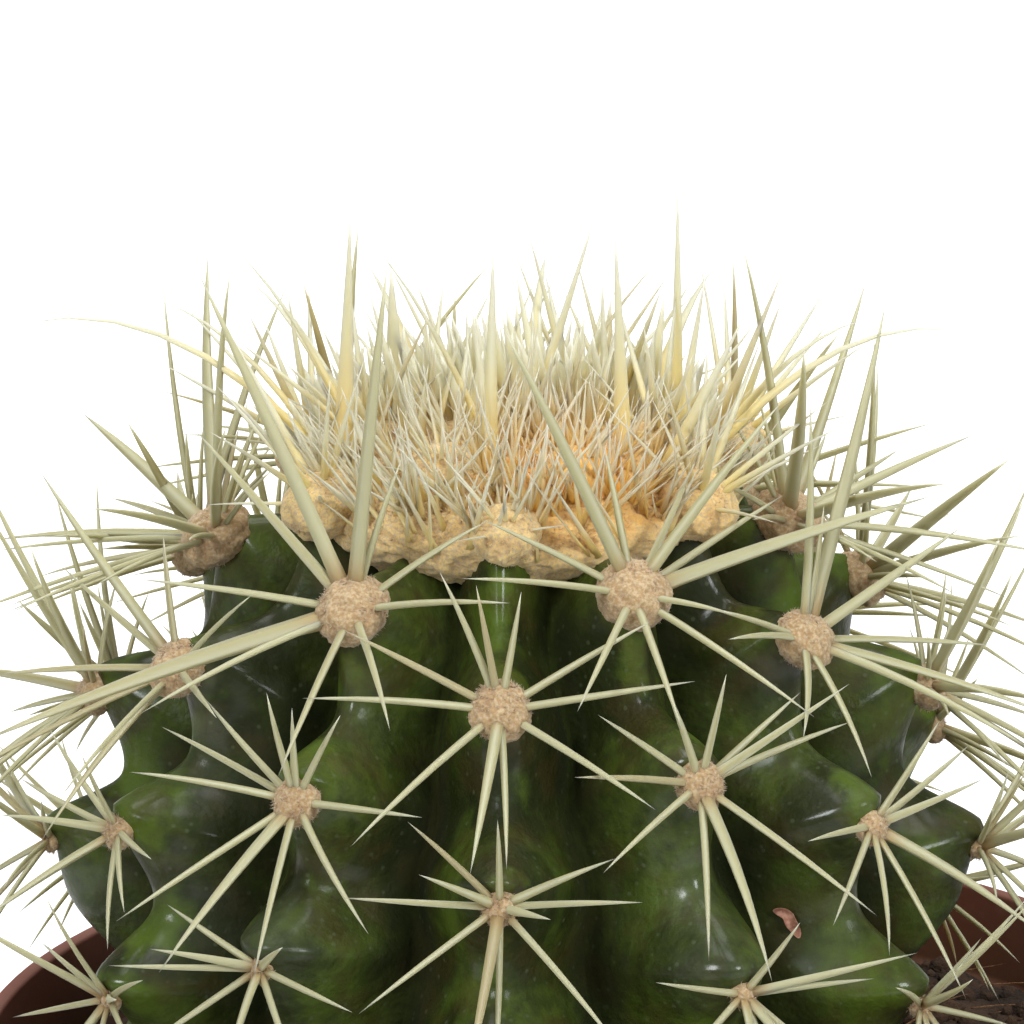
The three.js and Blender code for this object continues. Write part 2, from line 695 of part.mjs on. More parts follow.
function crownLines() {
  const blades = BLADES.map(bladeLine);
  blades.forEach((line) => placed.push({ ...line, areole: 'crown' }));
  const young = CROWN_RINGS.flatMap((ring, index) => ring.ribs.flatMap((rib) => {
    const frame = crownFrame(rib, ring.latitude);
    return crownSpines(ring, rib, index).map((spine) => grow('crown', frame, spine));
  }));
  return [...blades, ...young.filter(Boolean)];
}

// The felt of wool that fills the crown, thinning out at its edge.
function crownFelt() {
  const felt = new THREE.SphereGeometry(FELT_RADIUS, 26, 6);
  felt.rotateX(Math.PI / 2);
  felt.scale(1, 1, FELT_HALF / FELT_RADIUS);
  felt.translate(BODY_X, 0, FELT_TOP - FELT_HALF);
  return toSolid(felt);
}

function crown(lines, grownBody) {
  const tufts = CROWN_RINGS.flatMap(({ ribs, latitude, wool }) => ribs
    .map((rib) => woolPad(crownFrame(rib, latitude), wool)));
  const parts = [crownFelt(), ...tufts, ...lines.map(needle)];
  return largestBody(wasm.Manifold.union(parts).subtract(grownBody));
}

// ---- Assembly ----------------------------------------------------------------------

const MATERIALS = {
  pot: { color: 0x8a4a35, roughness: 0.55, metalness: 0 },
  soil: { color: 0x2b1a12, roughness: 0.95, metalness: 0 },
  body: { color: 0x2f4a2a, roughness: 0.35, metalness: 0 },
  wool: { color: 0xe3c29a, roughness: 0.9, metalness: 0 },
  spine: { color: 0xd9d0a0, roughness: 0.5, metalness: 0 },
};

function named(name, solid, material) {
  const mesh = new THREE.Mesh(toGeometry(solid), new THREE.MeshStandardMaterial(material));
  mesh.name = name;
  return mesh;
}

function areoleKeys() {
  const keys = [];
  for (const rib of ribNumbers()) {
    const rows = rib % 2 === 0 ? EVEN_ROWS : ODD_ROWS;
    const shown = rows.filter((row) => !BURIED.includes(`${rib},${row}`));
    shown.forEach((row, i) => keys.push({ rib, row, number: i + 1 }));
  }
  const early = ({ rib, row }) => FIRST_PLACED.includes(`${rib},${row}`);
  return [keys.filter(early), keys.filter((key) => !early(key))];
}

// Spines of one areole with their tuft of wool, cut clear of the skin.
function areole({ rib, row }, lines, grownBody) {
  const frame = areoleFrame(areolePlace(rib, row));
  const parts = [woolPad(frame, padWidth(row)), ...lines.map(needle)];
  return largestBody(wasm.Manifold.union(parts).subtract(grownBody));
}

const plant = new THREE.Group();
const grownBody = toSolid(bodyGeometry(STEEP_GAP));
plant.add(named('cactus_body', toSolid(bodyGeometry(0)), MATERIALS.body));

const [front, others] = areoleKeys();
const crownNeedles = crownLines();
const frontLines = front.map(({ rib, row }) => areoleLines(rib, row));
const otherLines = others.map(({ rib, row }) => areoleLines(rib, row));
const allLines = [...frontLines, ...otherLines];
[...front, ...others].forEach((key, i) => {
  const rib = String(key.rib + HALF_RIBS + 1).padStart(2, '0');
  const name = `spines_rib_${rib}_row_${key.number}`;
  plant.add(named(name, areole(key, allLines[i], grownBody), MATERIALS.spine));
});
plant.add(named('crown_wool_and_spines', crown(crownNeedles, grownBody), MATERIALS.wool));

const pottedCactus = new THREE.Group();
pottedCactus.add(named('pot', pot(), MATERIALS.pot));
pottedCactus.add(named('soil', soil(grownBody), MATERIALS.soil));
pottedCactus.add(plant);

export default pottedCactus;
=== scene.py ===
"""A young round cactus with straw-coloured spines, in a plain nursery pot.

Metres and degrees. +Z is up, -Y is the front, and the origin is the middle of the pot's
underside. The body is an upright half-ellipse spun into ribs. Everything on it is placed by
a latitude, from -90 at the root to 90 at the crown, and by a place round it, counted in ribs
anticlockwise from the front rib.
"""

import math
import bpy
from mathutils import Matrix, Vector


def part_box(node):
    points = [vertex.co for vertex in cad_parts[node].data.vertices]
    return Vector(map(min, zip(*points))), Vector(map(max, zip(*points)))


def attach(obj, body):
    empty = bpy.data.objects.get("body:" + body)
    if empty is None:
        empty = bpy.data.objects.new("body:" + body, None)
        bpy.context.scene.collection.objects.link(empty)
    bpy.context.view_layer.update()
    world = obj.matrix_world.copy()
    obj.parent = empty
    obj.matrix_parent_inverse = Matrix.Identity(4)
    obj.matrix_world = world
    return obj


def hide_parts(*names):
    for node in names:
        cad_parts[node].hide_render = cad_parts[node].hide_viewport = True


bl_info = {
    "name": "Potted Round Cactus",
    "version": (1, 0, 0),
    "blender": (4, 5, 0),
    "location": "View3D > Sidebar > Cactus",
    "description": "Builds the looks of a potted round cactus around its fixed frame",
    "category": "Add Mesh",
}

import bmesh
import bpy
import numpy as np
from bpy.props import FloatProperty, FloatVectorProperty, IntProperty, PointerProperty
from mathutils import Matrix, Vector, noise

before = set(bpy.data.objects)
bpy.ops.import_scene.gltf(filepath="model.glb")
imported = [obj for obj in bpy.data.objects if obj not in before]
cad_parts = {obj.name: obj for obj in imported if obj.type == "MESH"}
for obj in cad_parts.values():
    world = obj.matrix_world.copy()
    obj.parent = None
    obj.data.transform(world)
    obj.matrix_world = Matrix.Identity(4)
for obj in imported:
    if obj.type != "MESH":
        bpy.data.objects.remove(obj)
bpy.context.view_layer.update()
POT_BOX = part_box("pot")
SOIL_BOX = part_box("soil")

BODY = "root"
MM = 0.001
GAP = 0.3 * MM

# Pot
RIM_BAND = 10 * MM
RIM_PROUD = 2.2 * MM
BAND_DRAFT = 0.8 * MM
FOOT_RADIUS = 43 * MM
PAD_RADIUS = 12 * MM
FOOT_WIDTH = 8 * MM
CHANNEL_HEIGHT = 2.5 * MM
CHANNEL_SLOPE = 2 * MM
DRAIN_HOLES = 8
DRAIN_RADIUS = 3.5 * MM
DRAIN_CIRCLE = 24 * MM
HOLE_SIDES = 24
HOLE_DEPTH = 20 * MM
POT_STEPS = 128
SHARP_ANGLE = 25  # above which an edge of the pot is rounded
CORNER_RADIUS = 0.35 * MM

# Soil
DEEPEST_DIP = 45 * MM  # how far the peat reaches down under the plant
DIP_HALVINGS = 14
CRUMB_REACH = 54.5 * MM
CRUMB_SQUARE = 55 * MM
SOIL_STEPS = 200
SOIL_RINGS_APART = 0.9 * MM
STRAND_RINGS = 5

# Ribs
RIBS = 13
HALF_RIBS = (RIBS - 1) // 2
RIB_NUMBERS = range(-HALF_RIBS, HALF_RIBS + 1)
FIRST_RIB = -2.3
RIB_STEP = 360 / RIBS
GROOVE_ROUND = 0.35
GROOVE_WANDER = 0.07
NOTCH_PLACE = 0.56
TIP_ABOVE_AREOLE = 0.12
NOTCH_SHARPNESS = 0.6
POLE_RADIUS = 8 * MM
CROWN_DIP = 5 * MM
CROWN_RADIUS = 18 * MM
FULL_RIBS_ACROSS = 0.72
ROOT_TAPER = 35
SUNKEN_RIBS = (3, -3, 4, -4)  # whose ridges fall back below their last areole
SUNKEN_DEPTH = 5 * MM
SUNKEN_LATITUDES = (10, -4)  # where they start to fall back, and where they have
BODY_X = -8 * MM
ROWS_PER_DEGREE = 2  # of the table that the skin's depth is looked up in
COLUMNS_PER_RIB = 48

# Areoles
FIRST_LATITUDE = 63.2
ROW_STEP = 21.9
ROW_EASE = 0.65
REGULAR_RIBS = 3
ROW_CREEP = 0.25
AREOLE_TILT = 8
EVEN_ROWS = (1, 2, 3, 4)
ODD_ROWS = (0.5, 1.5, 2.5, 3.5)
LADDER_ROWS = np.arange(-1, 7)

# How far an areole grew from its regular place: (degrees anticlockwise, mm up).
STRAYED = {
    (0, 0): (-2, 0), (0, 2): (0.4, 0), (-1, 0.5): (-1.2, -0.3), (-1, 1.5): (0.2, -1),
    (-1, 2.5): (-0.9, 1), (1, 0.5): (-1.8, 1.2), (1, 1.5): (0, 0.8), (1, 2.5): (1.6, -0.8),
    (-2, 0): (-1.9, 0), (-2, 1): (-4, -1.5), (-2, 2): (-1.4, 0), (-2, 3): (3, 2),
    (2, 1): (1.4, 2), (2, 2): (-2, 2), (2, 3): (1.5, 1.4), (3, 0.5): (1.2, 2),
    (3, 1.5): (4, 0), (3, 2.5): (-1, 2), (-3, 0.5): (-1.6, 0), (-3, 1.5): (-4, -1.5),
    (-3, 2.5): (3, 2), (4, 4): (0, -9), (-4, 4): (0, -9), (4, 5): (0, -6), (-4, 5): (0, -6),
    (3, 3.5): (0, -13), (-3, 3.5): (0, -13), (3, 4.5): (0, -8), (-3, 4.5): (0, -8),
    (3, 5.5): (0, -3), (-3, 5.5): (0, -3),
}
BURIED = ((3, 3.5), (-3, 3.5), (4, 4), (-4, 4))  # areoles that grew down to the soil

# The front areoles as they grew: clock directions of the radial spines, seen from outside
# with the crown at twelve, and (clock, lift, length in mm) of the central spines.
GROWN = {
    (0, 1): ([330, 345, 15, 65, 90, 130, 176, 215, 265, 290], [(184, 28, 25)]),
    (0, 2): ([0, 310, 270, 230, 180, 140, 90],
             [(188, 30, 20), (285, 45, 10), (70, 25, 12), (110, 45, 7)]),
    (-1, 0.5): ([15, 50, 90, 138, 165, 208, 255],
                [(295, 35, 22), (315, 40, 34), (5, 50, 32), (222, 10, 36)]),
    (-1, 1.5): ([305, 285, 265, 215, 167, 130, 90, 40, 355], [(190, 22, 21), (10, 45, 10)]),
    (-1, 2.5): ([295, 260, 225, 180, 135, 98], [(270, 30, 10), (160, 40, 12), (65, 45, 9)]),
    (1, 0.5): ([355, 40, 70, 160, 195, 218, 265, 300],
               [(325, 45, 28), (65, 50, 22), (90, 17, 29), (150, 30, 12)]),
    (1, 1.5): ([10, 60, 80, 150, 200, 240, 275, 305],
               [(190, 25, 24), (325, 45, 12), (70, 30, 16)]),
    (1, 2.5): ([285, 30, 92, 140, 240, 180], [(85, 20, 16), (200, 35, 14), (160, 30, 13)]),
    (-2, 1): ([325, 342, 50, 98, 150, 200, 235], [(289, 30, 26), (161, 11, 22), (275, 25, 18)]),
    (-2, 2): ([20, 90, 110, 128, 270, 320], [(217, 12, 18), (198, 28, 16), (250, 35, 12)]),
    (2, 1): ([20, 290, 275, 238, 215, 120],
             [(10, 45, 22), (36, 42, 32), (90, 35, 19), (150, 20, 24), (170, 22, 24)]),
    (2, 2): ([35, 75, 275, 245, 225, 190], [(148, 18, 19), (90, 28, 12)]),
}

# The central spines of other areoles: clock and lift, each with its reach and the number
# of its chance, and the length as a share of the longest.
USUAL_CENTRALS = (
    ((195, 25, 20), (24, 6, 21), 0.85),
    ((305, 24, 22), (42, 12, 27), 1),
    ((55, 24, 23), (42, 12, 28), 0.85),
    ((5, 24, 24), (50, 12, 29), 0.95),
    ((255, 20, 25), (30, 8, 30), 0.9),
    ((105, 20, 26), (30, 8, 31), 0.8),
)

# Small turns and lifts that a spine may take to keep off the skin.
TURNS = ((0, 0), (0, 4), (0, 8), (0, 13), (0, 19), (0, 26), (0, 34))
SHORTENED = (1, 0.82, 0.64, 0.48)
SHORTEST_SPINE = 4 * MM
FREE_SHARES = np.array([0.15, 0.25, 0.375, 0.5, 0.625, 0.75, 0.875, 1])  # where it is tried
ROOM_ABOVE = 1.5 * MM  # between a spine and the pot or the soil under it
# The shares of the usual width that central spines longer than so many mm have.
STOUT_WHEN_LONG = ((35, 1.3), (27, 1), (18, 0.74), (0, 0.56))
RADIAL_TAPER = 3
CENTRAL_TAPER = 2.2
BLADE_TAPER = 1.35
SPINE_SIDES = 6
SPINE_RINGS = 7
FIBRE_SIDES = 3
FIBRE_RINGS = 2

# Tufts in the crown: latitude, ribs, wool width, spines, their length.
CROWN_RINGS = (
    (63.2, (0, 2, -2, 4, -4, 6, -6), 7.4 * MM, 10, 17 * MM),
    (73, (1, -1, 3, -3, 5, -5), 7.2 * MM, 10, 15 * MM),
    (81, (0, 2, -2, 4, -4, 6), 6 * MM, 7, 11 * MM),
)
WIDE_TUFT = 8 * MM  # width of a tuft that has all the fibres of the settings
FELT_RADIUS = 20.5 * MM
FELT_HALF = 7 * MM
FELT_TOP = 156.5 * MM
FELT_SCALE = np.array([FELT_RADIUS, FELT_RADIUS, FELT_HALF])
FELT_MIDDLE = np.array([BODY_X, 0, FELT_TOP - FELT_HALF])
FELT_COLUMNS = 280
FELT_ROWS = 160
FELT_LUMPS = 0.65 * MM
FUZZ_LENGTH = 0.9 * MM
CROWN_TUFT_FIBRES = 800
HEART = Vector((-2 * MM, -12 * MM, 154 * MM))  # where the youngest wool glows orange

# The tall blades of the crown, in mm: foot from the crown's middle, lean to the right and
# back, rise and width.
BLADES = (
    (-16, -6, 1, 0, 26, 2.2), (-1, -4, -12, -1, 23, 1.5), (-9, -3, -4.5, -2, 18, 1.6),
    (-2.5, -11, 0.5, -2, 24, 2), (-2, -7, -2, -1, 18, 1.6), (-0.5, -2, 8, -1, 26, 1.6),
    (10, -7, -1, -1.5, 24, 2), (8.5, 2, -0.5, 0, 18, 1.5), (2, 4, 11.5, 1, 19, 1.4),
    (15, 3, 0, 0, 26, 1.6), (14.5, -3, 3, -1, 19, 1.5), (16.5, -6, 8, -2, 21, 1.5),
    (13, -9, 8, -2, 17, 1.6), (16, -6, 24, -3, 15, 2), (17, -3, 15, -2, 15, 1.8),
    (-16, -5, -29, -2, 15, 1.8), (-17, -2, -16, 0, 16, 1.5), (-14, 0, -12, 0, 20, 1.5),
    (-12, -3, -6, -1, 14, 1.4), (3, 9, -3, 5, 15, 1.8), (-8, 12, -6, 6, 14, 1.8),
    (12, 12, 7, 7, 14, 1.8), (-15, 8, -10, 5, 14, 1.6), (1, 15, 2, 12, 13, 1.8),
    (-11, 0, -0.5, 0, 19, 3), (8, 8, 1, 2, 13, 3), (12, 5, 2, 2, 14, 2.6), (-3, 5, -1, 1, 14, 2.6),
)
BLADE_BEND = 0.18
BRUSH_TUFTS = 110
BRUSH_RADIUS = 19.3 * MM
FRONT_OF_BRUSH = -3 * MM  # in front of it the crowd of young spines is finer and denser
# A tuft's spines, how far they stray and lean out, the longest as a share of the usual, and
# the narrowest and widest as shares of a central spine.
FRONT_BRUSH = {"count": 7, "stray": 0.36, "lean": 0.8, "longest": 1.05, "width": (0.32, 0.55)}
BACK_BRUSH = {"count": 4, "stray": 0.22, "lean": 0.55, "longest": 1.1, "width": (0.8, 1.9)}
FRINGE_SPINES = 170
FRINGE_ARC = (190, 350)  # turns, anticlockwise from the right
GOLDEN_TURN = math.radians(137.508)
LIGHT_REACH = (1, 0.9, 0.65)  # how far red, green and blue light goes into straw and wool

# Seeds of the random draws. Those of the areoles follow from their rib and row.
SOIL_SEED = 11
FELT_SEED = 3
FUZZ_SEED = 77
BRUSH_SEED = 23
FRINGE_SEED = 29
BLADE_SEED = 31
CROWD_SEED = 37
CROWN_TUFT_SEED = 401


def linear(red, green, blue):
    """A colour as a screen shows it, 0 to 255, in the linear light that shaders mix."""
    shares = [value / 255 for value in (red, green, blue)]
    return tuple(s / 12.92 if s <= 0.04045 else ((s + 0.055) / 1.055) ** 2.4 for s in shares)


def length_setting(name, description, default):
    """A setting that holds a length in metres."""
    return FloatProperty(
        name=name, description=description, default=default, min=0, unit="LENGTH", precision=4
    )


def count_setting(name, description, default):
    """A setting that holds a whole number."""
    return IntProperty(name=name, description=description, default=default, min=0)


def colour_setting(name, description, *screen):
    """A setting that holds a colour, given as a screen shows it, 0 to 255."""
    return FloatVectorProperty(
        name=name, description=description, default=linear(*screen), size=3, subtype="COLOR",
        min=0, max=1,
    )


class CactusPotSettings(bpy.types.PropertyGroup):
    """Sizes and colours of the pot."""

    height: length_setting("Height", "From the floor to the rim", POT_BOX[1].z)
    rim_radius: length_setting("Rim radius", "Outside of the rim band", POT_BOX[1].x)
    wall: length_setting("Wall", "Thickness of the plastic", 1.6 * MM)
    plastic: colour_setting("Plastic", "Colour of the pot", 112, 60, 46)
    worn: colour_setting("Worn", "Colour of its rubbed edges and dust", 156, 108, 90)


class CactusSoilSettings(bpy.types.PropertyGroup):
    """The peat in the pot."""

    level: length_setting("Level", "Height of the peat", 87 * MM)
    lump: length_setting("Lump", "Height of its lumps", 1.1 * MM)
    crumbs: count_setting("Crumbs", "Loose crumbs on top", 1500)
    strands: count_setting("Strands", "Loose root fibres on top", 260)
    peat: colour_setting("Peat", "Colour of the damp peat", 64, 44, 28)
    strand: colour_setting("Strand", "Colour of the dry fibres", 132, 94, 60)


class CactusBodySettings(bpy.types.PropertyGroup):
    """Shape and colours of the fleshy body."""

    radius: length_setting("Radius", "Of the widest ring, over the ribs", 46.5 * MM)
    waist_height: length_setting("Waist height", "Height of the widest ring", 104 * MM)
    top_half: length_setting("Top half", "From the waist to the crown", 53.2 * MM)
    bottom_half: length_setting("Bottom half", "From the waist to the root", 42 * MM)
    groove_depth: length_setting("Groove depth", "Between two ribs", 13.5 * MM)
    notch_depth: length_setting("Notch depth", "Between two areoles of a rib", 6 * MM)
    flesh: colour_setting("Flesh", "Main green of the skin", 69, 82, 28)
    deep: colour_setting("Deep green", "Darker patches and grooves", 38, 44, 18)
    fresh: colour_setting("Fresh green", "Young and sunlit patches", 84, 104, 29)
    bloom: colour_setting("Bloom", "Waxy grey on the older skin", 100, 109, 84)


class CactusSpineSettings(bpy.types.PropertyGroup):
    """Widths and colours of the spines."""

    radial_width: length_setting("Radial width", "Of a radial spine at its base", 0.76 * MM)
    central_width: length_setting("Central width", "Of a long central spine at its base", 1.6 * MM)
    straw: colour_setting("Straw", "Main colour", 168, 163, 121)
    pale: colour_setting("Pale", "Colour of the paler streaks and tips", 190, 188, 158)
    base: colour_setting("Base", "Colour next to the wool", 174, 138, 90)
    young_straw: colour_setting("Young straw", "Main colour in the crown", 213, 207, 170)
    young_pale: colour_setting("Young pale", "Paler streaks and tips there", 217, 214, 189)
    young_base: colour_setting("Young base", "Colour next to the wool there", 238, 208, 132)


class CactusWoolSettings(bpy.types.PropertyGroup):
    """Fibres and colours of the wool."""

    fibre_length: length_setting("Fibre length", "Of a fibre in an old tuft", 0.5 * MM)
    fibre_width: length_setting("Fibre width", "Of a fibre at its foot", 0.08 * MM)
    crown_fibres: count_setting("Crown fibres", "Fibres that stand out of the crown", 18000)
    tuft_fibres: count_setting("Tuft fibres", "Fibres of a tuft 8 mm wide", 1800)
    old: colour_setting("Old", "Wool of the older tufts", 178, 147, 105)
    fresh: colour_setting("Fresh", "Whiter bits of wool", 206, 184, 150)
    crown: colour_setting("Crown", "Wool of the crown", 240, 208, 142)
    glow: colour_setting("Glow", "Youngest wool", 236, 166, 40)


class CactusHuskSettings(bpy.types.PropertyGroup):
    """The shed husk that lies on a rib."""

    latitude: FloatProperty(name="Latitude", description="Where it lies, in degrees", default=15.8)
    place: FloatProperty(name="Place", description="Where it lies, in ribs", default=1.736)
    length: length_setting("Length", "Along the rib", 3.6 * MM)
    width: length_setting("Width", "Across its strip", 1.1 * MM)
    husk: colour_setting("Husk", "Colour of the dry husk", 156, 106, 84)


class CactusStageSettings(bpy.types.PropertyGroup):
    """Camera, floor and lights."""

    distance: length_setting("Distance", "From the camera to the plant", 550 * MM)
    pitch: FloatProperty(
        name="Pitch", description="How far the camera looks down", default=math.radians(16),
        subtype="ANGLE",
    )
    lens: FloatProperty(name="Lens", description="Focal length in mm", default=207.07)
    floor: colour_setting("Floor", "Colour of the floor", 204, 204, 204)


class CactusSettings(bpy.types.PropertyGroup):
    """Everything that the panel lists."""

    pot: PointerProperty(type=CactusPotSettings)
    soil: PointerProperty(type=CactusSoilSettings)
    body: PointerProperty(type=CactusBodySettings)
    spines: PointerProperty(type=CactusSpineSettings)
    wool: PointerProperty(type=CactusWoolSettings)
    husk: PointerProperty(type=CactusHuskSettings)
    stage: PointerProperty(type=CactusStageSettings)


def chance(seed):
    """A repeatable stand-in for chance, from 0 to 1."""
    value = math.sin(seed * 12.9898) * 43758.5453
    return value - math.floor(value)


def spread(seed):
    """The same from -1 to 1."""
    return 2 * chance(seed) - 1


# ---- The plant's shape -----------------------------------------------------------------


class Plant:
    """The body's surface, and the places and directions of the areoles on it."""

    def __init__(self, sizes):
        self.radius = sizes.radius
        self.waist = sizes.waist_height
        self.halves = (sizes.bottom_half, sizes.top_half)
        self.groove_depth = sizes.groove_depth
        self.notch_depth = sizes.notch_depth
        self.ladders = {rib: self.ladder(rib) for rib in RIB_NUMBERS}
        self.latitudes = np.linspace(-90, 90, 180 * ROWS_PER_DEGREE + 1)
        self.places = np.linspace(0, RIBS, RIBS * COLUMNS_PER_RIB + 1)
        self.depths = self.depth_table()

    def outline(self, latitude):
        """Radius, height and the outward normal's two parts, at latitudes in degrees."""
        turn = np.radians(latitude)
        across, up = np.cos(turn), np.sin(turn)
        half = np.where(up >= 0, self.halves[1], self.halves[0])
        radius = self.radius * across
        inside = (up > 0) & (radius < CROWN_RADIUS)
        dip = np.where(inside, CROWN_DIP * (1 - (radius / CROWN_RADIUS) ** 2) ** 2, 0)
        out, rise = across / self.radius, up / half
        size = np.hypot(out, rise)
        return radius, self.waist + half * up - dip, out / size, rise / size

    def areole_place(self, rib, row):
        """Latitude and place of an areole. At the back the rows creep round, so that the
        thirteenth rib still alternates."""
        turn, rise = STRAYED.get((rib, row), (0, 0))
        back = max(0, abs(rib) - REGULAR_RIBS) / (HALF_RIBS - REGULAR_RIBS)
        row = row + ROW_CREEP * back * np.sign(rib)
        regular = FIRST_LATITUDE - ROW_STEP * row + ROW_EASE * row * row
        half = self.halves[1] if regular >= 0 else self.halves[0]
        share = math.sin(math.radians(regular)) + rise * MM / half
        return math.degrees(math.asin(max(-1, min(1, share)))), rib + turn / RIB_STEP

    def ladder(self, rib):
        """Latitudes and places of a rib's areoles, from above the crown's edge down."""
        first = 0 if rib % 2 == 0 else 0.5
        return np.array([self.areole_place(rib, row + first) for row in LADDER_ROWS]).T

    def between(self, rib, latitude):
        """The step of the ladder that a latitude is on, and how far down that step."""
        rungs = self.ladders[rib][0]
        latitude = np.atleast_1d(latitude)
        step = np.minimum((rungs[1:, None] > latitude).sum(0), len(rungs) - 2)
        part = (rungs[step] - latitude) / (rungs[step] - rungs[step + 1])
        return step, np.clip(part, 0, 1)

    def notch(self, rib, latitude):
        """0 on the tip of a tubercle and 1 at the bottom of the notch below it."""
        down = (self.between(rib, latitude)[1] + TIP_ABOVE_AREOLE) % 1
        early = 0.5 * down / NOTCH_PLACE
        late = 0.5 + 0.5 * (down - NOTCH_PLACE) / (1 - NOTCH_PLACE)
        wave = np.sin(np.pi * np.where(down < NOTCH_PLACE, early, late))
        return NOTCH_SHARPNESS * wave + (1 - NOTCH_SHARPNESS) * wave**2

    def ridge(self, rib, latitude):
        """Place of a ridge, which runs from areole to areole."""
        step, part = self.between(rib, latitude)
        places = self.ladders[rib][1]
        return places[step] + (places[step + 1] - places[step]) * part

    def groove(self, rib, latitude):
        """Place of the groove between a rib and the next."""
        after = wrap_rib(rib + 1)
        ridges = self.ridge(rib, latitude) + self.ridge(after, latitude) + rib + 1 - after
        swing = self.notch(after, latitude) - self.notch(rib, latitude)
        return (ridges + GROOVE_WANDER * swing) / 2

    def strength(self, latitude):
        """How fully the ribs are formed: they fade into the crown and the root."""
        crown = np.clip(np.cos(np.radians(latitude)) / FULL_RIBS_ACROSS, 0, 1)
        return np.minimum(crown, np.clip((latitude + 90) / (90 - ROOT_TAPER), 0, 1))

    def rib_depth(self, rib, away, latitude):
        """Depth under the outline. away runs from 0 on the ridge to 1 in the groove."""
        arc = np.hypot(away, GROOVE_ROUND) - GROOVE_ROUND
        groove = self.groove_depth * arc / (math.hypot(1, GROOVE_ROUND) - GROOVE_ROUND)
        dip = self.notch_depth * self.notch(rib, latitude) + self.sunken(rib, latitude)
        return self.strength(latitude) * (groove + dip * (1 - away**2))

    def sunken(self, rib, latitude):
        """How far a ridge has fallen back on its way down to the soil."""
        high, low = SUNKEN_LATITUDES
        share = np.clip((latitude - low) / (high - low), 0, 1)
        fallen = 1 - share * share * (3 - 2 * share)
        return SUNKEN_DEPTH * fallen * (rib in SUNKEN_RIBS)

    def rings(self, latitude, steps):
        """Places and depths round the body, as arrays of latitudes by columns, with every
        ridge and groove on a column of its own."""
        half = steps // 2
        places, depths, valleys = [], [], []
        for rib in RIB_NUMBERS:
            after = wrap_rib(rib + 1)
            ridge, groove = self.ridge(rib, latitude), self.groove(rib, latitude)
            coming = self.ridge(after, latitude) + rib + 1 - after
            for share in np.arange(half) / half:
                places.append(ridge + (groove - ridge) * share)
                depths.append(self.rib_depth(rib, share, latitude))
                valleys.append(np.full(len(latitude), share))
            for share in np.arange(half) / half:
                places.append(groove + (coming - groove) * share)
                depths.append(self.rib_depth(after, 1 - share, latitude))
                valleys.append(np.full(len(latitude), 1 - share))
        return tuple(np.stack(columns, -1) for columns in (places, depths, valleys))

    def depth_table(self):
        """Depths at regular latitudes and places, to look any point up in."""
        places, depths, _ = self.rings(self.latitudes, COLUMNS_PER_RIB // 2)
        rows = [np.interp(self.places, *row, period=RIBS) for row in zip(places, depths)]
        return np.stack(rows)

    def depth_at(self, place, latitude):
        """Depth of the skin under the outline at any place."""
        row = (np.asarray(latitude) + 90) * ROWS_PER_DEGREE
        column = (np.asarray(place) % RIBS) * COLUMNS_PER_RIB
        low = np.clip(np.floor(row).astype(int), 0, len(self.latitudes) - 2)
        left = np.clip(np.floor(column).astype(int), 0, len(self.places) - 2)
        up, along = row - low, column - left
        below = self.depths[low, left] * (1 - along) + self.depths[low, left + 1] * along
        above = self.depths[low + 1, left] * (1 - along) + self.depths[low + 1, left + 1] * along
        return below * (1 - up) + above * up

    def skin_point(self, place, latitude, depth):
        """Points at a depth under the outline."""
        radius, height, out, rise = self.outline(latitude)
        bearing = np.radians(FIRST_RIB + np.asarray(place) * RIB_STEP)
        away = radius - depth * out
        fade = np.clip(radius / POLE_RADIUS, 0, 1)
        across, forward = BODY_X + away * np.sin(bearing), -away * np.cos(bearing)
        return np.stack([across, forward, height - depth * fade * rise], -1)

    def height_above(self, points):
        """Height of points above the skin, measured towards the body's middle."""
        x, y, z = points[..., 0] - BODY_X, points[..., 1], points[..., 2] - self.waist
        half = np.where(z >= 0, self.halves[1], self.halves[0])
        across = np.hypot(x, y)
        latitude = np.degrees(np.arctan2(z / half, across / self.radius))
        reach = np.hypot(across / self.radius, z / half)
        place = (np.degrees(np.arctan2(x, -y)) - FIRST_RIB) / RIB_STEP
        return np.hypot(across, z) * (1 - 1 / reach) + self.depth_at(place, latitude)

    def areole_frame(self, latitude, place):
        """Middle of an areole, with the directions out, towards the crown and right."""
        _, _, out, rise = self.outline(latitude)
        bearing = math.radians(FIRST_RIB + place * RIB_STEP)
        tilt = math.atan2(rise, out) + math.radians(AREOLE_TILT)
        away = np.array([math.sin(bearing), -math.cos(bearing), 0])
        right = np.array([math.cos(bearing), math.sin(bearing), 0])
        up = np.array([0, 0, 1])
        middle = self.skin_point(place, latitude, self.depth_at(place, latitude))
        return {
            "at": middle,
            "out": away * math.cos(tilt) + up * math.sin(tilt),
            "crown": up * math.cos(tilt) - away * math.sin(tilt),
            "right": right,
        }


def wrap_rib(rib):
    """The number between -6 and 6 of the same rib."""
    return (rib + HALF_RIBS) % RIBS - HALF_RIBS


def areole_keys():
    """Rib, row and number down the rib of every areole below the crown."""
    for rib in RIB_NUMBERS:
        for number, row in enumerate(EVEN_ROWS if rib % 2 == 0 else ODD_ROWS, 1):
            if (rib, row) not in BURIED:
                yield rib, row, number


def tuft_width(row):
    """Width of an areole's wool, which wears off down the body."""
    return max(2.4, 8 - 2.3 * row) * MM


# ---- Meshes from templates -------------------------------------------------------------


def to_mesh(bm, name):
    """Turns a bmesh into a named mesh, and frees it."""
    mesh = bpy.data.meshes.new(name)
    bm.to_mesh(mesh)
    bm.free()
    return mesh


def coordinates(mesh):
    """Places of a mesh's vertices, vertices by 3."""
    places = np.empty(len(mesh.vertices) * 3)
    mesh.vertices.foreach_get("co", places)
    return places.reshape(-1, 3)


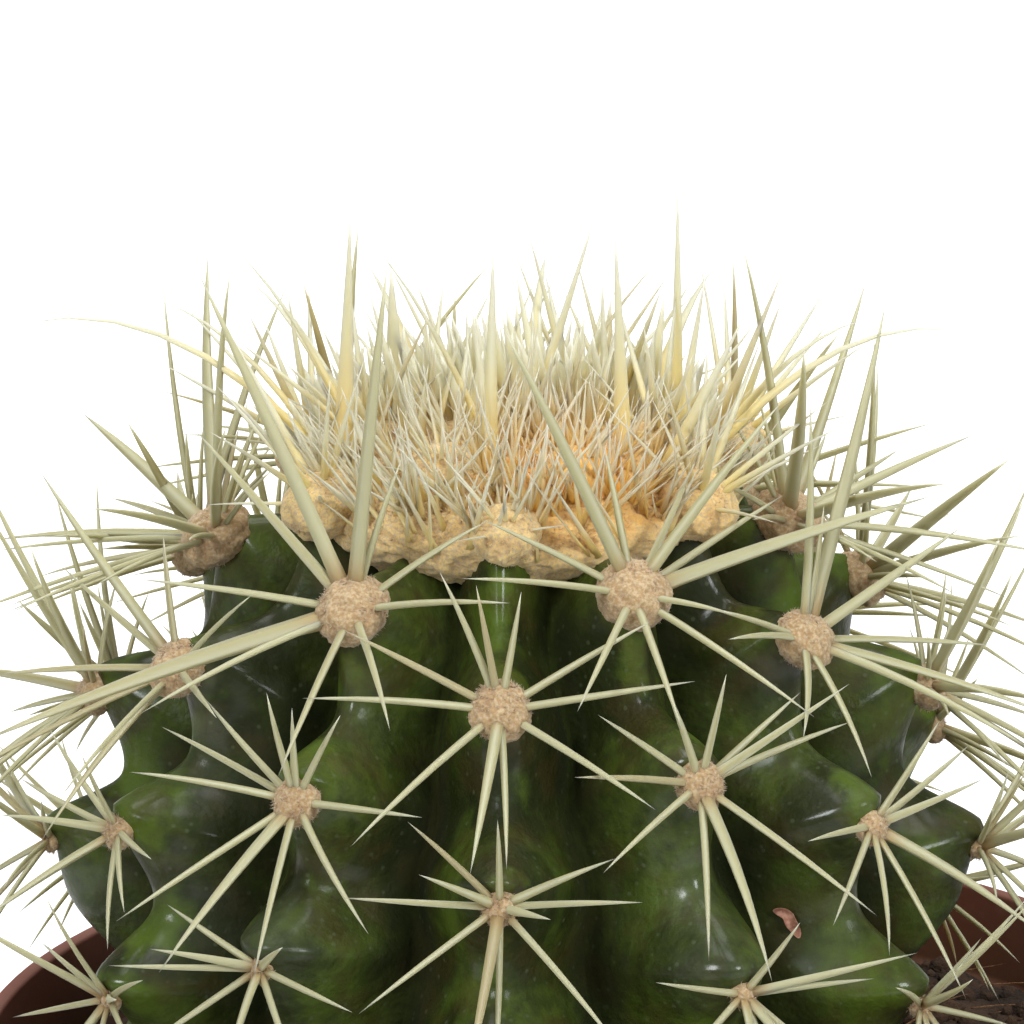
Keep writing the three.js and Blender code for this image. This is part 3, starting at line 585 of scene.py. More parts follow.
def needle_template(sides, rings):
    """A closed unit needle on +Z: a tube of rings that ends in a point."""
    bm = bmesh.new()
    bmesh.ops.create_circle(bm, cap_ends=True, segments=sides, radius=1)
    edges = list(bm.edges)
    for _ in range(rings):
        made = bmesh.ops.extrude_edge_only(bm, edges=edges)["geom"]
        verts = [item for item in made if isinstance(item, bmesh.types.BMVert)]
        bmesh.ops.translate(bm, verts=verts, vec=(0, 0, 1 / rings))
        edges = [
            item for item in made
            if isinstance(item, bmesh.types.BMEdge) and set(item.verts) <= set(verts)
        ]
    bmesh.ops.pointmerge(bm, verts=verts, merge_co=(0, 0, 1))
    bmesh.ops.recalc_face_normals(bm, faces=bm.faces)
    return to_mesh(bm, "needle")


def ball_template(detail):
    """A unit ball of even triangles."""
    bm = bmesh.new()
    bmesh.ops.create_icosphere(bm, subdivisions=detail, radius=1)
    return to_mesh(bm, "ball")


class Gathering:
    """Copies of template meshes, each moved to its place, that become one piece."""

    def __init__(self):
        self.parts = []

    def add(self, template, places, **tints):
        """places holds copies by vertices by 3, and each tint copies by vertices."""
        places = np.asarray(places)
        tints = {name: np.broadcast_to(tint, places.shape[:2]) for name, tint in tints.items()}
        self.parts.append((template, places, tints))

    def make(self, name):
        """One mesh of every copy, with the tints as attributes of its vertices."""
        bm = bmesh.new()
        for template, places, _ in self.parts:
            for _ in places:
                bm.from_mesh(template)
        mesh = to_mesh(bm, name)
        places = np.concatenate([places.ravel() for _, places, _ in self.parts])
        mesh.vertices.foreach_set("co", places)
        for tint in sorted({tint for _, _, tints in self.parts for tint in tints}):
            values = [
                tints[tint].ravel() if tint in tints else np.zeros(places.size // 3)
                for _, places, tints in self.parts
            ]
            store(mesh, tint, np.concatenate(values))
        mesh.update()
        return mesh


def store(mesh, name, values):
    """Keeps one value for each vertex, for a material to read."""
    attribute = mesh.attributes.new(name, "FLOAT", "POINT")
    attribute.data.foreach_set("value", np.asarray(values, np.float32))


def unit(vectors):
    """Vectors of the same directions, each of length 1."""
    return vectors / np.linalg.norm(vectors, axis=-1, keepdims=True)


def sideways(along, chances):
    """Any direction across a spine or a fibre."""
    return unit(np.cross(along, chances.normal(size=3)))


def lumps(spot, *layers):
    """Noise at a spot, as the sum of layers, each given by its share and its fineness."""
    return sum(share * noise.noise(spot * fineness) for share, fineness in layers)


LINE_PARTS = ("base", "along", "up", "length", "width", "flat", "taper", "sag", "bow")
BULB = 0.22  # how much wider a spine's foot is
BULB_LENGTH = 1.4 * MM


def bend_needles(template, lines):
    """Places of the template's vertices along each line, copies by vertices by 3. A line has
    a base, a direction, an upward side, a length, a width, a flatness, a taper, and sag and
    bow, which bend it by shares of its length."""
    local = coordinates(template)
    share = local[:, 2][None, :, None]
    base, along, up, *numbers = (
        np.array([line[key] for line in lines], float) for key in LINE_PARTS
    )
    length, width, flat, taper, sag, bow = (values[:, None, None] for values in numbers)
    along, up = unit(along)[:, None], up[:, None]
    side = unit(np.cross(along, up))
    swing = up * sag + side * bow
    centre = base[:, None] + along * length * share + swing * length * share * (1 - share)
    tangent = unit(along + swing * (1 - 2 * share))
    wide = unit(np.cross(tangent, up))
    thin = np.cross(tangent, wide)
    bulb = 1 + BULB * np.exp(-share * length / BULB_LENGTH)
    radius = width / 2 * (1 - share**taper) * bulb
    thick = radius * flat
    return centre - wide * local[None, :, :1] * radius + thin * local[None, :, 1:2] * -thick


def spine(base, along, up, length, width, taper, sag=0.1, bow=0.0, flat=0.72):
    """One line for bend_needles, which says what its parts mean."""
    return {
        "base": base, "along": along, "up": up, "length": length, "width": width,
        "taper": taper, "sag": sag, "bow": bow, "flat": flat,
    }


def finish_piece(mesh, material, slot, *nodes, name=None):
    """A mesh as a shown piece of the object, in place of its CAD nodes."""
    piece = bpy.data.objects.new(name or mesh.name, mesh)
    bpy.context.scene.collection.objects.link(piece)
    mesh.materials.clear()
    mesh.materials.append(material)
    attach(piece, BODY)
    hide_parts(*nodes)
    return piece


def smooth(mesh, sharp_angle=None):
    """Shades a mesh smooth, but for edges sharper than an angle in degrees."""
    mesh.polygons.foreach_set("use_smooth", [True] * len(mesh.polygons))
    if sharp_angle:
        mesh.set_sharp_from_angle(angle=math.radians(sharp_angle))
    return mesh


# ---- Materials -------------------------------------------------------------------------


class Nodes:
    """Adds and joins the nodes of a material or of a shader node group."""

    def __init__(self, tree):
        self.tree = tree

    def add(self, kind, feeds=None, **settings):
        """A node of a kind, with what feeds its inputs, and its own settings."""
        made = self.tree.nodes.new(f"ShaderNode{kind}")
        for name, value in settings.items():
            setattr(made, name, value)
        for socket, value in (feeds or {}).items():
            self.feed(made.inputs[socket], value)
        return made

    def feed(self, socket, value):
        """Joins a socket to an input, or sets the input to a value."""
        if isinstance(value, bpy.types.NodeSocket):
            self.tree.links.new(value, socket)
        else:
            socket.default_value = value

    def math(self, operation, *values):
        """A sum of sockets or numbers."""
        made = self.add("Math", dict(enumerate(values)), operation=operation)
        return made.outputs[0]

    def mix(self, share, first, second):
        """Mixes two colours, given as sockets or as settings' colours."""
        made = self.add("Mix", data_type="RGBA")
        for index, value in ((0, share), (6, first), (7, second)):
            if index and not isinstance(value, bpy.types.NodeSocket):
                value = (*value, 1)
            self.feed(made.inputs[index], value)
        return made.outputs[2]

    def attribute(self, name):
        """A value that the mesh stores for each vertex."""
        return self.add("Attribute", attribute_name=name).outputs["Fac"]

    def place(self):
        """Coordinates on the piece itself."""
        return self.add("TexCoord").outputs["Object"]

    def group(self, tree, **feeds):
        """A shader node group, fed by the names of its inputs."""
        made = self.add("Group", node_tree=tree)
        for name, value in feeds.items():
            self.feed(made.inputs[name.replace("_", " ")], value)
        return made.outputs[0]

    def mottle(self, place, scale, detail, low, high):
        """Soft patches, as a mask from 0 to 1."""
        return self.group(
            mottle_group(), Vector=place, Scale=scale, Detail=detail, Low=low, High=high
        )

    def grain(self, scale, fine_scale, fine_share):
        """Height of a fine grain."""
        return self.group(
            grain_group(), Vector=self.place(), Scale=scale, Fine_Scale=fine_scale,
            Fine_Share=fine_share,
        )

    def range(self, value, low, high, start=0.0, end=1.0):
        """Spreads a value from low..high to start..end, softly."""
        feeds = {"Value": value, "From Min": low, "From Max": high, "To Min": start, "To Max": end}
        return self.add("MapRange", feeds, interpolation_type="SMOOTHSTEP").outputs[0]


def new_group(name, inputs, output):
    """A shader node group with named number inputs, a Vector and one output."""
    tree = bpy.data.node_groups.new(name, "ShaderNodeTree")
    tree.interface.new_socket("Vector", in_out="INPUT", socket_type="NodeSocketVector")
    for label, default in inputs.items():
        socket = tree.interface.new_socket(label, in_out="INPUT", socket_type="NodeSocketFloat")
        socket.default_value = default
    tree.interface.new_socket(output, in_out="OUTPUT", socket_type="NodeSocketFloat")
    given, out = tree.nodes.new("NodeGroupInput"), tree.nodes.new("NodeGroupOutput")
    return Nodes(tree), given.outputs, out


def mottle_group():
    """Soft patches: a noise cut to a mask from 0 to 1."""
    found = bpy.data.node_groups.get("mottle")
    if found:
        return found
    inputs = {"Scale": 100, "Detail": 3, "Low": 0.4, "High": 0.6}
    nodes, given, out = new_group("mottle", inputs, "Mask")
    feeds = {"Vector": given["Vector"], "Scale": given["Scale"], "Detail": given["Detail"]}
    patch = nodes.add("TexNoise", feeds)
    mask = nodes.range(patch.outputs["Fac"], given["Low"], given["High"])
    nodes.feed(out.inputs["Mask"], mask)
    return nodes.tree


def grain_group():
    """Height of a fine grain: a noise with a finer one over it."""
    found = bpy.data.node_groups.get("grain")
    if found:
        return found
    inputs = {"Scale": 800, "Fine Scale": 3000, "Fine Share": 0.3}
    nodes, given, out = new_group("grain", inputs, "Height")
    coarse = nodes.add("TexNoise", {"Vector": given["Vector"], "Scale": given["Scale"]})
    fine = nodes.add("TexNoise", {"Vector": given["Vector"], "Scale": given["Fine Scale"]})
    share = given["Fine Share"]
    height = nodes.math("MULTIPLY_ADD", fine.outputs["Fac"], share, coarse.outputs["Fac"])
    nodes.feed(out.inputs["Height"], height)
    return nodes.tree


def new_material(name, colour_of, roughness, bump=None, coat=None, **plain):
    """A Principled material. colour_of and coat build their sockets, and bump the height."""
    material = bpy.data.materials.new(name)
    material.use_nodes = True
    nodes = Nodes(material.node_tree)
    shader = material.node_tree.nodes["Principled BSDF"]
    nodes.feed(shader.inputs["Base Color"], colour_of(nodes))
    nodes.feed(shader.inputs["Roughness"], roughness(nodes) if callable(roughness) else roughness)
    if coat:
        nodes.feed(shader.inputs["Coat Weight"], coat(nodes))
    for label, value in plain.items():
        shader.inputs[label.replace("_", " ")].default_value = value
    if bump:
        height, strength, distance = bump(nodes)
        feeds = {"Height": height, "Strength": strength, "Distance": distance}
        nodes.feed(shader.inputs["Normal"], nodes.add("Bump", feeds).outputs[0])
    return material


# Tints of peat stains with painted shade, of painted shade in creases, and of old straw,
# which are mixed into the settings' colours.
PEAT_STAIN_AND_SHADE = linear(100, 66, 46)
DEEP_STAIN_AND_SHADE = linear(66, 44, 30)
BROWN_SKIN = linear(66, 56, 28)
CORKY_SKIN = linear(104, 84, 52)
DEAD_STRAW = linear(150, 122, 80)
GOLDEN_STRAW = linear(236, 166, 40)
WOOL_PIT = linear(150, 106, 82)
WOOL_CREASE_SHADE = linear(166, 122, 90)
HUSK_PALE = linear(186, 140, 118)


def plastic_material(looks):
    """Dull plastic, stained by peat on the inside and darkened there with painted shade."""

    def colour(nodes):
        place = nodes.place()
        patches = nodes.mottle(place, 45, 5, 0.42, 0.66)
        dust = nodes.mottle(place, 420, 6, 0.56, 0.74)
        dull = nodes.mix(nodes.math("MULTIPLY", patches, 0.35), looks.plastic, looks.worn)
        dull = nodes.mix(nodes.math("MULTIPLY", dust, 0.3), dull, looks.worn)
        # Inside the pot: peat stain mixed with painted shade.
        stained_and_shaded = nodes.mix(patches, PEAT_STAIN_AND_SHADE, DEEP_STAIN_AND_SHADE)
        return nodes.mix(nodes.attribute("inside"), dull, stained_and_shaded)

    def roughness(nodes):
        return nodes.range(nodes.mottle(nodes.place(), 60, 4, 0.3, 0.7), 0, 1, 0.42, 0.6)

    def bump(nodes):
        return nodes.grain(1500, 5000, 0.4), 0.25, 0.06 * MM

    return new_material("pot_plastic", colour, roughness, bump)


def peat_material(looks):
    """Damp peat, and dry fibres where the tone is high."""

    def colour(nodes):
        patches = nodes.mottle(nodes.place(), 160, 6, 0.38, 0.62)
        damp = nodes.mix(patches, looks.peat, damp_and_shade(looks.peat))
        return nodes.mix(nodes.attribute("tone"), damp, looks.strand)

    def bump(nodes):
        return nodes.grain(700, 2600, 0.5), 0.9, 0.8 * MM

    return new_material("peat", colour, 0.95, bump)


def damp_and_shade(colour):
    """The colour darkened: as damp peat, and as painted shade in the skin's grooves."""
    return tuple(0.45 * part for part in colour)


def mottled_green(nodes, looks, place, valley):
    """The skin's greens and browns, with fresh patches on the ridges as painted light."""
    green = nodes.mix(nodes.mottle(place, 75, 7, 0.4, 0.6), looks.deep, looks.flesh)
    fine = nodes.mottle(place, 700, 6, 0.35, 0.7)
    green = nodes.mix(nodes.math("MULTIPLY", fine, 0.6), green, looks.deep)
    fresh_and_lit = nodes.mottle(place, 120, 6, 0.47, 0.62)
    # Random fresh patches, faded towards the grooves: the ridges painted as lit.
    fresh_and_lit = nodes.math("MULTIPLY", fresh_and_lit, nodes.range(valley, 0.2, 0.8, 0.9, 0.0))
    green = nodes.mix(fresh_and_lit, green, looks.fresh)
    brown = nodes.mottle(place, 230, 8, 0.46, 0.64)
    return nodes.mix(nodes.math("MULTIPLY", brown, 0.5), green, BROWN_SKIN)


def waxy_bloom(nodes, looks, place, valley, green):
    """The green with a bloom of wax, stronger low down and off the grooves, and its specks."""
    waxy = nodes.mottle(place, 95, 7, 0.44, 0.7)
    height = nodes.add("SeparateXYZ", {"Vector": place}).outputs["Z"]
    waxy = nodes.math("MULTIPLY", waxy, nodes.range(height, 0.148, 0.1, 0.1, 0.35))
    waxy = nodes.math("MULTIPLY", waxy, nodes.range(valley, 0.1, 0.7, 1.0, 0.0))
    green = nodes.mix(waxy, green, looks.bloom)
    specks = nodes.add("TexVoronoi", {"Vector": place, "Scale": 700}).outputs["Distance"]
    return nodes.mix(nodes.range(specks, 0.2, 0.08, 0, 0.3), green, looks.bloom)


def skin_material(looks):
    """Mottled green skin with a worn gloss, dull in the grooves and darkened there with painted
    shade.
    """

    def colour(nodes):
        place, valley = nodes.place(), nodes.attribute("valley")
        green = mottled_green(nodes, looks, place, valley)
        green = waxy_bloom(nodes, looks, place, valley, green)
        near = nodes.range(nodes.attribute("near_areole"), 0.35, 1.0, 0.0, 0.6)
        green = nodes.mix(near, green, CORKY_SKIN)
        # Painted shade: the grooves darkened towards a deep green.
        return nodes.mix(nodes.range(valley, 0.5, 1.0, 0.0, 0.6), green, damp_and_shade(looks.deep))

    def roughness(nodes):
        patches = nodes.mottle(nodes.place(), 240, 6, 0.3, 0.7)
        deep = nodes.range(nodes.attribute("valley"), 0.5, 0.9)
        return nodes.math("MAXIMUM", nodes.range(patches, 0, 1, 0.38, 0.6), deep)

    def coat(nodes):
        left = nodes.range(nodes.mottle(nodes.place(), 250, 6, 0.36, 0.6), 0, 1, 0.64, 0.14)
        ridge = nodes.range(nodes.attribute("valley"), 0.35, 0.8, 1.0, 0.0)
        return nodes.math("MULTIPLY", left, ridge)

    def bump(nodes):
        return nodes.grain(380, 1900, 0.3), 0.7, 0.5 * MM

    return new_material(
        "green_skin", colour, roughness, bump, coat, Specular_IOR_Level=0.15, Coat_Roughness=0.17
    )


def spine_material(name, main, pale, base, reach, depth):
    """reach is how far along a spine its base colour goes, as a share of its length, and
    depth is how deep light goes into it."""

    def colour(nodes):
        along, tone = nodes.attribute("along"), nodes.attribute("tone")
        straw = nodes.mix(nodes.range(nodes.attribute("streak"), 0, 1), main, pale)
        straw = nodes.mix(nodes.range(along, 0.6, 1.0, 0, 0.5), straw, pale)
        straw = nodes.mix(nodes.range(along, reach, 0.0), straw, base)
        glow = nodes.range(along, 0.9, 0.1, 0, 0.85)
        glow = nodes.math("MULTIPLY", nodes.attribute("glow"), glow)
        straw = nodes.mix(glow, straw, GOLDEN_STRAW)
        return nodes.mix(nodes.range(tone, 0.85, 1.0, 0, 0.4), straw, DEAD_STRAW)

    return new_material(
        name, colour, 0.45, Subsurface_Weight=0.5, Subsurface_Scale=depth,
        Subsurface_Radius=LIGHT_REACH, Specular_IOR_Level=0.35,
    )


def wool_material(looks, name, main):
    """Matted wool, darkened in its creases with painted shade, and golden where it glows."""

    def colour(nodes):
        place = nodes.place()
        wool = nodes.mix(nodes.mottle(place, 3200, 6, 0.36, 0.7), main, looks.fresh)
        pits = nodes.math("MULTIPLY", nodes.mottle(place, 4600, 3, 0.5, 0.66), 0.28)
        wool = nodes.mix(pits, wool, WOOL_PIT)
        # Painted shade in the hollows of the lumps.
        wool = nodes.mix(nodes.attribute("crease"), wool, WOOL_CREASE_SHADE)
        golden = tuple(0.6 * a + 0.4 * b for a, b in zip(main, looks.glow))
        warm = nodes.mix(nodes.mottle(place, 300, 4, 0.48, 0.66), golden, looks.glow)
        return nodes.mix(nodes.attribute("glow"), wool, warm)

    return new_material(
        name, colour, 1.0, Specular_IOR_Level=0.05, Subsurface_Weight=0.3,
        Subsurface_Scale=1 * MM, Subsurface_Radius=LIGHT_REACH, Sheen_Weight=0.25,
    )


# ---- Pot and soil ----------------------------------------------------------------------


def wall_top(looks):
    """Radius and height of the wall where the rim band starts."""
    return looks.rim_radius - RIM_PROUD - BAND_DRAFT, looks.height - RIM_BAND


def pot_inside(looks, clearance=0.0):
    """Inside of the pot from the middle of the floor to the rim, or the outline of what
    fills it with some clearance all round."""
    wall = looks.wall + clearance
    half = clearance / 2
    channel_inside = PAD_RADIUS + CHANNEL_SLOPE
    channel_outside = FOOT_RADIUS - FOOT_WIDTH
    top_radius, band_bottom = wall_top(looks)
    return [
        (0, wall),
        (PAD_RADIUS - 0.6 * MM - half, wall),
        (channel_inside - 0.6 * MM - half, CHANNEL_HEIGHT + wall),
        (channel_outside - 1.4 * MM + half, CHANNEL_HEIGHT + wall),
        (channel_outside + 0.6 * MM + half, wall),
        (FOOT_RADIUS - wall - 0.6 * MM, wall),
        (top_radius - wall, band_bottom - 1 * MM),
        (looks.rim_radius - wall - 0.9 * MM, band_bottom + 1.2 * MM),
    ]


def pot_outside(looks):
    """Outside of the pot from the middle of its underside over the rim."""
    top_radius, band_bottom = wall_top(looks)
    return [
        (0, 0),
        (PAD_RADIUS, 0),
        (PAD_RADIUS + CHANNEL_SLOPE, CHANNEL_HEIGHT),
        (FOOT_RADIUS - FOOT_WIDTH - CHANNEL_SLOPE, CHANNEL_HEIGHT),
        (FOOT_RADIUS - FOOT_WIDTH, 0),
        (FOOT_RADIUS, 0),
        (top_radius, band_bottom),
        (looks.rim_radius - 0.4 * MM, band_bottom),
        (looks.rim_radius, looks.height),
        (looks.rim_radius - looks.wall, looks.height),
    ]


def spin_profile(points, steps):
    """A profile of (radius, height) that starts and ends on the axis, spun round it."""
    bm = bmesh.new()
    verts = [bm.verts.new((radius, 0, height)) for radius, height in points]
    edges = [bm.edges.new(pair) for pair in zip(verts, verts[1:])]
    bmesh.ops.spin(
        bm, geom=verts + edges, cent=(0, 0, 0), axis=(0, 0, 1), angle=2 * math.pi, steps=steps,
        use_merge=True,
    )
    bmesh.ops.remove_doubles(bm, verts=bm.verts, dist=1e-6)
    bmesh.ops.recalc_face_normals(bm, faces=bm.faces)
    return bm


def round_corners(bm, offset):
    """Rounds every sharp edge."""
    sharp = math.radians(SHARP_ANGLE)
    corners = [edge for edge in bm.edges if edge.calc_face_angle(0) > sharp]
    bmesh.ops.bevel(
        bm, geom=corners, offset=offset, offset_type="OFFSET", segments=3, profile=0.5,
        affect="EDGES", material=-1, clamp_overlap=True,
    )


def peat_stain_and_shade(looks, points):
    """How much peat stain and painted shade darken the inside of the wall: most below the rim."""
    across, height = np.hypot(points[:, 0], points[:, 1]), points[:, 2]
    rim = (looks.rim_radius - looks.wall, looks.height)
    radii, heights = zip(*pot_inside(looks)[5:], rim)
    inside = across < np.interp(height, heights, radii) + 0.4 * looks.wall
    below = (looks.height - height) / (3 * MM)
    return np.where(inside & (height > 8 * MM), np.clip(below, 0.3, 0.9), 0)


def drill_holes(mesh):
    """The mesh with its drain holes cut."""
    bm = bmesh.new()
    for number in range(DRAIN_HOLES):
        turn = Matrix.Rotation(2 * math.pi * (number + 0.5) / DRAIN_HOLES, 4, "Z")
        bmesh.ops.create_cone(
            bm, cap_ends=True, segments=HOLE_SIDES, radius1=DRAIN_RADIUS, radius2=DRAIN_RADIUS,
            depth=HOLE_DEPTH, matrix=turn @ Matrix.Translation((DRAIN_CIRCLE, 0, 0)),
        )
    drills = bpy.data.objects.new("drills", to_mesh(bm, "drills"))
    blank = bpy.data.objects.new("blank", mesh)
    for item in (drills, blank):
        bpy.context.scene.collection.objects.link(item)
    cut = blank.modifiers.new("holes", "BOOLEAN")
    cut.operation, cut.solver, cut.object = "DIFFERENCE", "EXACT", drills
    found = blank.evaluated_get(bpy.context.evaluated_depsgraph_get())
    drilled = bpy.data.meshes.new_from_object(found)
    for item in (drills, blank):
        bpy.data.objects.remove(item)
    return drilled


class CACTUS_OT_pot(bpy.types.Operator):
    """Builds the thin nursery pot with its rim band, foot ring and drain holes"""

    bl_idname = "cactus.pot"
    bl_label = "Pot"

    def execute(self, context):
        looks = context.scene.cactus.pot
        bm = spin_profile(pot_outside(looks) + pot_inside(looks)[::-1], POT_STEPS)
        round_corners(bm, CORNER_RADIUS)
        mesh = drill_holes(to_mesh(bm, "pot_shell"))
        mesh.name = "nursery_pot"
        store(mesh, "inside", peat_stain_and_shade(looks, coordinates(mesh)))
        material = plastic_material(looks)
        finish_piece(smooth(mesh, 35), material, "pot_plastic", "pot", name="nursery_pot")
        return {"FINISHED"}


def soil_height(plant, looks, x, y):
    """Height of the peat's top, which dips under the plant."""
    level = looks.level + looks.lump * lumps(Vector((x, y, 0)), (1, 160), (0.6, 420), (0.35, 900))
    high, low = level, level - DEEPEST_DIP
    if plant.height_above(np.array([x, y, high])) > 0:
        return high
    for _ in range(DIP_HALVINGS):
        middle = (high + low) / 2
        if plant.height_above(np.array([x, y, middle])) > -GAP:
            low = middle
        else:
            high = middle
    return low


def free_spots(plant, looks, chances):
    """Spots on the peat for the crumbs and strands, where the plant leaves room."""
    spots = []
    while len(spots) < looks.crumbs + looks.strands:
        x, y = chances.uniform(-CRUMB_SQUARE, CRUMB_SQUARE, 2)
        height = soil_height(plant, looks, x, y)
        if math.hypot(x, y) < CRUMB_REACH and height > looks.level - 3 * MM:
            spots.append((x, y, height))
    return np.array(spots)


def add_crumbs(gathering, spots, chances):
    """Crumbs of peat, each of its own size, shape and tone."""
    ball = ball_template(1)
    shape, count = coordinates(ball), len(spots)
    size = chances.gamma(2.2, 0.28, count)[:, None, None] * MM
    size = np.clip(size, 0.2 * MM, 1.9 * MM)
    rough = 1 + chances.uniform(-0.35, 0.35, (count, len(shape), 1))
    stretch = chances.uniform(0.6, 1.3, (count, 1, 3))
    tone = chances.uniform(0, 0.35, (count, 1)) ** 2
    gathering.add(ball, spots[:, None] + shape[None] * rough * stretch * size, tone=tone)


def add_strands(gathering, spots, chances):
    """Loose fibres that lie on the peat."""
    strand = needle_template(FIBRE_SIDES, STRAND_RINGS)
    lines = []
    for spot in spots:
        turn = chances.uniform(0, 2 * math.pi)
        along = np.array([math.cos(turn), math.sin(turn), chances.uniform(-0.05, 0.22)])
        lines.append(spine(
            spot, along, np.array([0, 0, 1]), chances.uniform(3, 11) * MM,
            chances.uniform(0.12, 0.34) * MM, 3, chances.uniform(-0.05, 0.25),
            chances.uniform(-0.35, 0.35), 0.8,
        ))
    tone = chances.uniform(0.25, 1, (len(lines), 1))
    gathering.add(strand, bend_needles(strand, lines), tone=tone)


class CACTUS_OT_soil(bpy.types.Operator):
    """Builds the peat with its crumbs and loose fibres"""

    bl_idname = "cactus.soil"
    bl_label = "Soil"

    def execute(self, context):
        looks = context.scene.cactus.soil
        plant = Plant(context.scene.cactus.body)
        fill = pot_inside(context.scene.cactus.pot, GAP)[:7]
        edge = fill.pop()[0] - GAP
        radii = np.arange(edge, 0, -SOIL_RINGS_APART)
        top = [(radius, looks.level) for radius in [*radii, 0]]
        bm = spin_profile([*fill, (edge, looks.level - 3 * MM), *top], SOIL_STEPS)
        for vert in bm.verts:
            if vert.co.z > looks.level - 1 * MM:
                vert.co.z = soil_height(plant, looks, vert.co.x, vert.co.y)
        heap = to_mesh(bm, "heap")
        gathering = Gathering()
        gathering.add(heap, coordinates(heap)[None], tone=0)
        chances = np.random.default_rng(SOIL_SEED)
        spots = free_spots(plant, looks, chances)
        add_crumbs(gathering, spots[: looks.crumbs], chances)
        add_strands(gathering, spots[looks.crumbs :], chances)
        mesh = smooth(gathering.make("peat_soil"))
        finish_piece(mesh, peat_material(looks), "peat", "soil")
        return {"FINISHED"}


# ---- Body ------------------------------------------------------------------------------

BODY_ROWS = np.concatenate([
    np.linspace(88.5, 67, 16), np.linspace(66, -31, 150), np.linspace(-34, -86, 14),
])
BODY_STEPS = 28


def ball_grid(ball, rows, columns):
    """Row from the top and column of each vertex of a ball. A pole is outside the rows."""
    row = np.round(np.arccos(np.clip(ball[:, 2], -1, 1)) / np.pi * (rows + 1))
    column = np.round(np.arctan2(ball[:, 1], ball[:, 0]) / (2 * np.pi) * columns)
    return row.astype(int) - 1, column.astype(int) % columns


class CACTUS_OT_body(bpy.types.Operator):
    """Builds the ribbed body"""

    bl_idname = "cactus.body"
    bl_label = "Body"

    def execute(self, context):
        looks = context.scene.cactus.body
        plant = Plant(looks)
        rows, columns = len(BODY_ROWS), RIBS * BODY_STEPS
        places, depths, valleys = plant.rings(BODY_ROWS, BODY_STEPS)
        bm = bmesh.new()
        bmesh.ops.create_uvsphere(bm, u_segments=columns, v_segments=rows + 1, radius=1)
        mesh = to_mesh(bm, "cactus_flesh")
        row, column = ball_grid(coordinates(mesh), rows, columns)
        poles = (row < 0) | (row >= rows)
        safe = np.clip(row, 0, rows - 1)
        skin = plant.skin_point(places, BODY_ROWS[:, None], depths)[safe, column]
        skin[row < 0] = plant.skin_point(0, 90, 0)
        skin[row >= rows] = plant.skin_point(0, -90, 0)
        skin += unit(skin - [BODY_X, 0, plant.waist]) * uneven(skin)[:, None]
        mesh.vertices.foreach_set("co", skin.ravel())
        store(mesh, "valley", np.where(poles, 0, valleys[safe, column]))
        store(mesh, "near_areole", nearness(plant, skin))
        mesh.update()
        finish_piece(smooth(mesh), skin_material(looks), "green_skin", "cactus_body")
        return {"FINISHED"}


def uneven(points):
    """Slow swellings of the skin, up or down."""
    layers = ((0.28 * MM, 95), (0.1 * MM, 260))
    return np.array([lumps(Vector(point), *layers) for point in points])


def nearness(plant, points):
    """1 at an areole, and 0 from one tuft's width away."""
    found = np.zeros(len(points))
    for rib, row, _ in areole_keys():
        middle = plant.areole_frame(*plant.areole_place(rib, row))["at"]
        away = np.linalg.norm(points - middle, axis=1)
        found = np.maximum(found, 1 - away / tuft_width(row))
    return found


# ---- Areoles ---------------------------------------------------------------------------


def stands_free(plant, line):
    """Whether a spine keeps off the skin, the soil and the pot."""
    share = FREE_SHARES[:, None]
    points = line["base"] + line["along"] * line["length"] * share
    points = points + line["up"] * line["sag"] * line["length"] * share * (1 - share)
    if (plant.height_above(points) < line["width"] / 2 + GAP).any():
        return False
    across, height = np.hypot(points[:, 0], points[:, 1]), points[:, 2]
    if ((height < POT_BOX[1].z + ROOM_ABOVE) & (across > POT_BOX[1].x - 5 * MM)).any():
        return False
    return bool((height > SOIL_BOX[1].z + ROOM_ABOVE).all())


def grow(plant, base, clock, lift, length, **look):
    """A spine of an areole that stands free, or None. base is the areole's frame."""
    for share in SHORTENED:
        if length * share < SHORTEST_SPINE:
            return None
        for turn, rise in TURNS:
            angle, up = math.radians(clock + turn), math.radians(lift + rise)
            flat = base["crown"] * math.cos(angle) + base["right"] * math.sin(angle)
            along = flat * math.cos(up) + base["out"] * math.sin(up)
            foot = base["at"] + base["out"] * 0.4 * MM
            line = spine(foot, along, base["out"], length * share, **look)
            if stands_free(plant, line):
                return line
    return None


def about(seed, middle, reach, number):
    """A value at most some reach from the middle. number sets its chance apart."""
    return middle + reach * spread(seed + number)


def usual_spines(rib, row):
    """Directions for an areole that the front doesn't show."""
    seed = 17 * rib + 101 * row
    count = max(6, min(11, round(12.2 - 1.4 * row)))
    radials = [20 + 360 * i / count + 9 * spread(seed + i) for i in range(count)]
    long = max(11, (27 if abs(rib) > 4 else 33) - 5.5 * row)
    centrals = [
        (about(seed, *clock), about(seed, *lift), share * long)
        for clock, lift, share in USUAL_CENTRALS
    ]
    return radials, centrals[: max(1, min(6, round(6.6 - 0.9 * row)))]


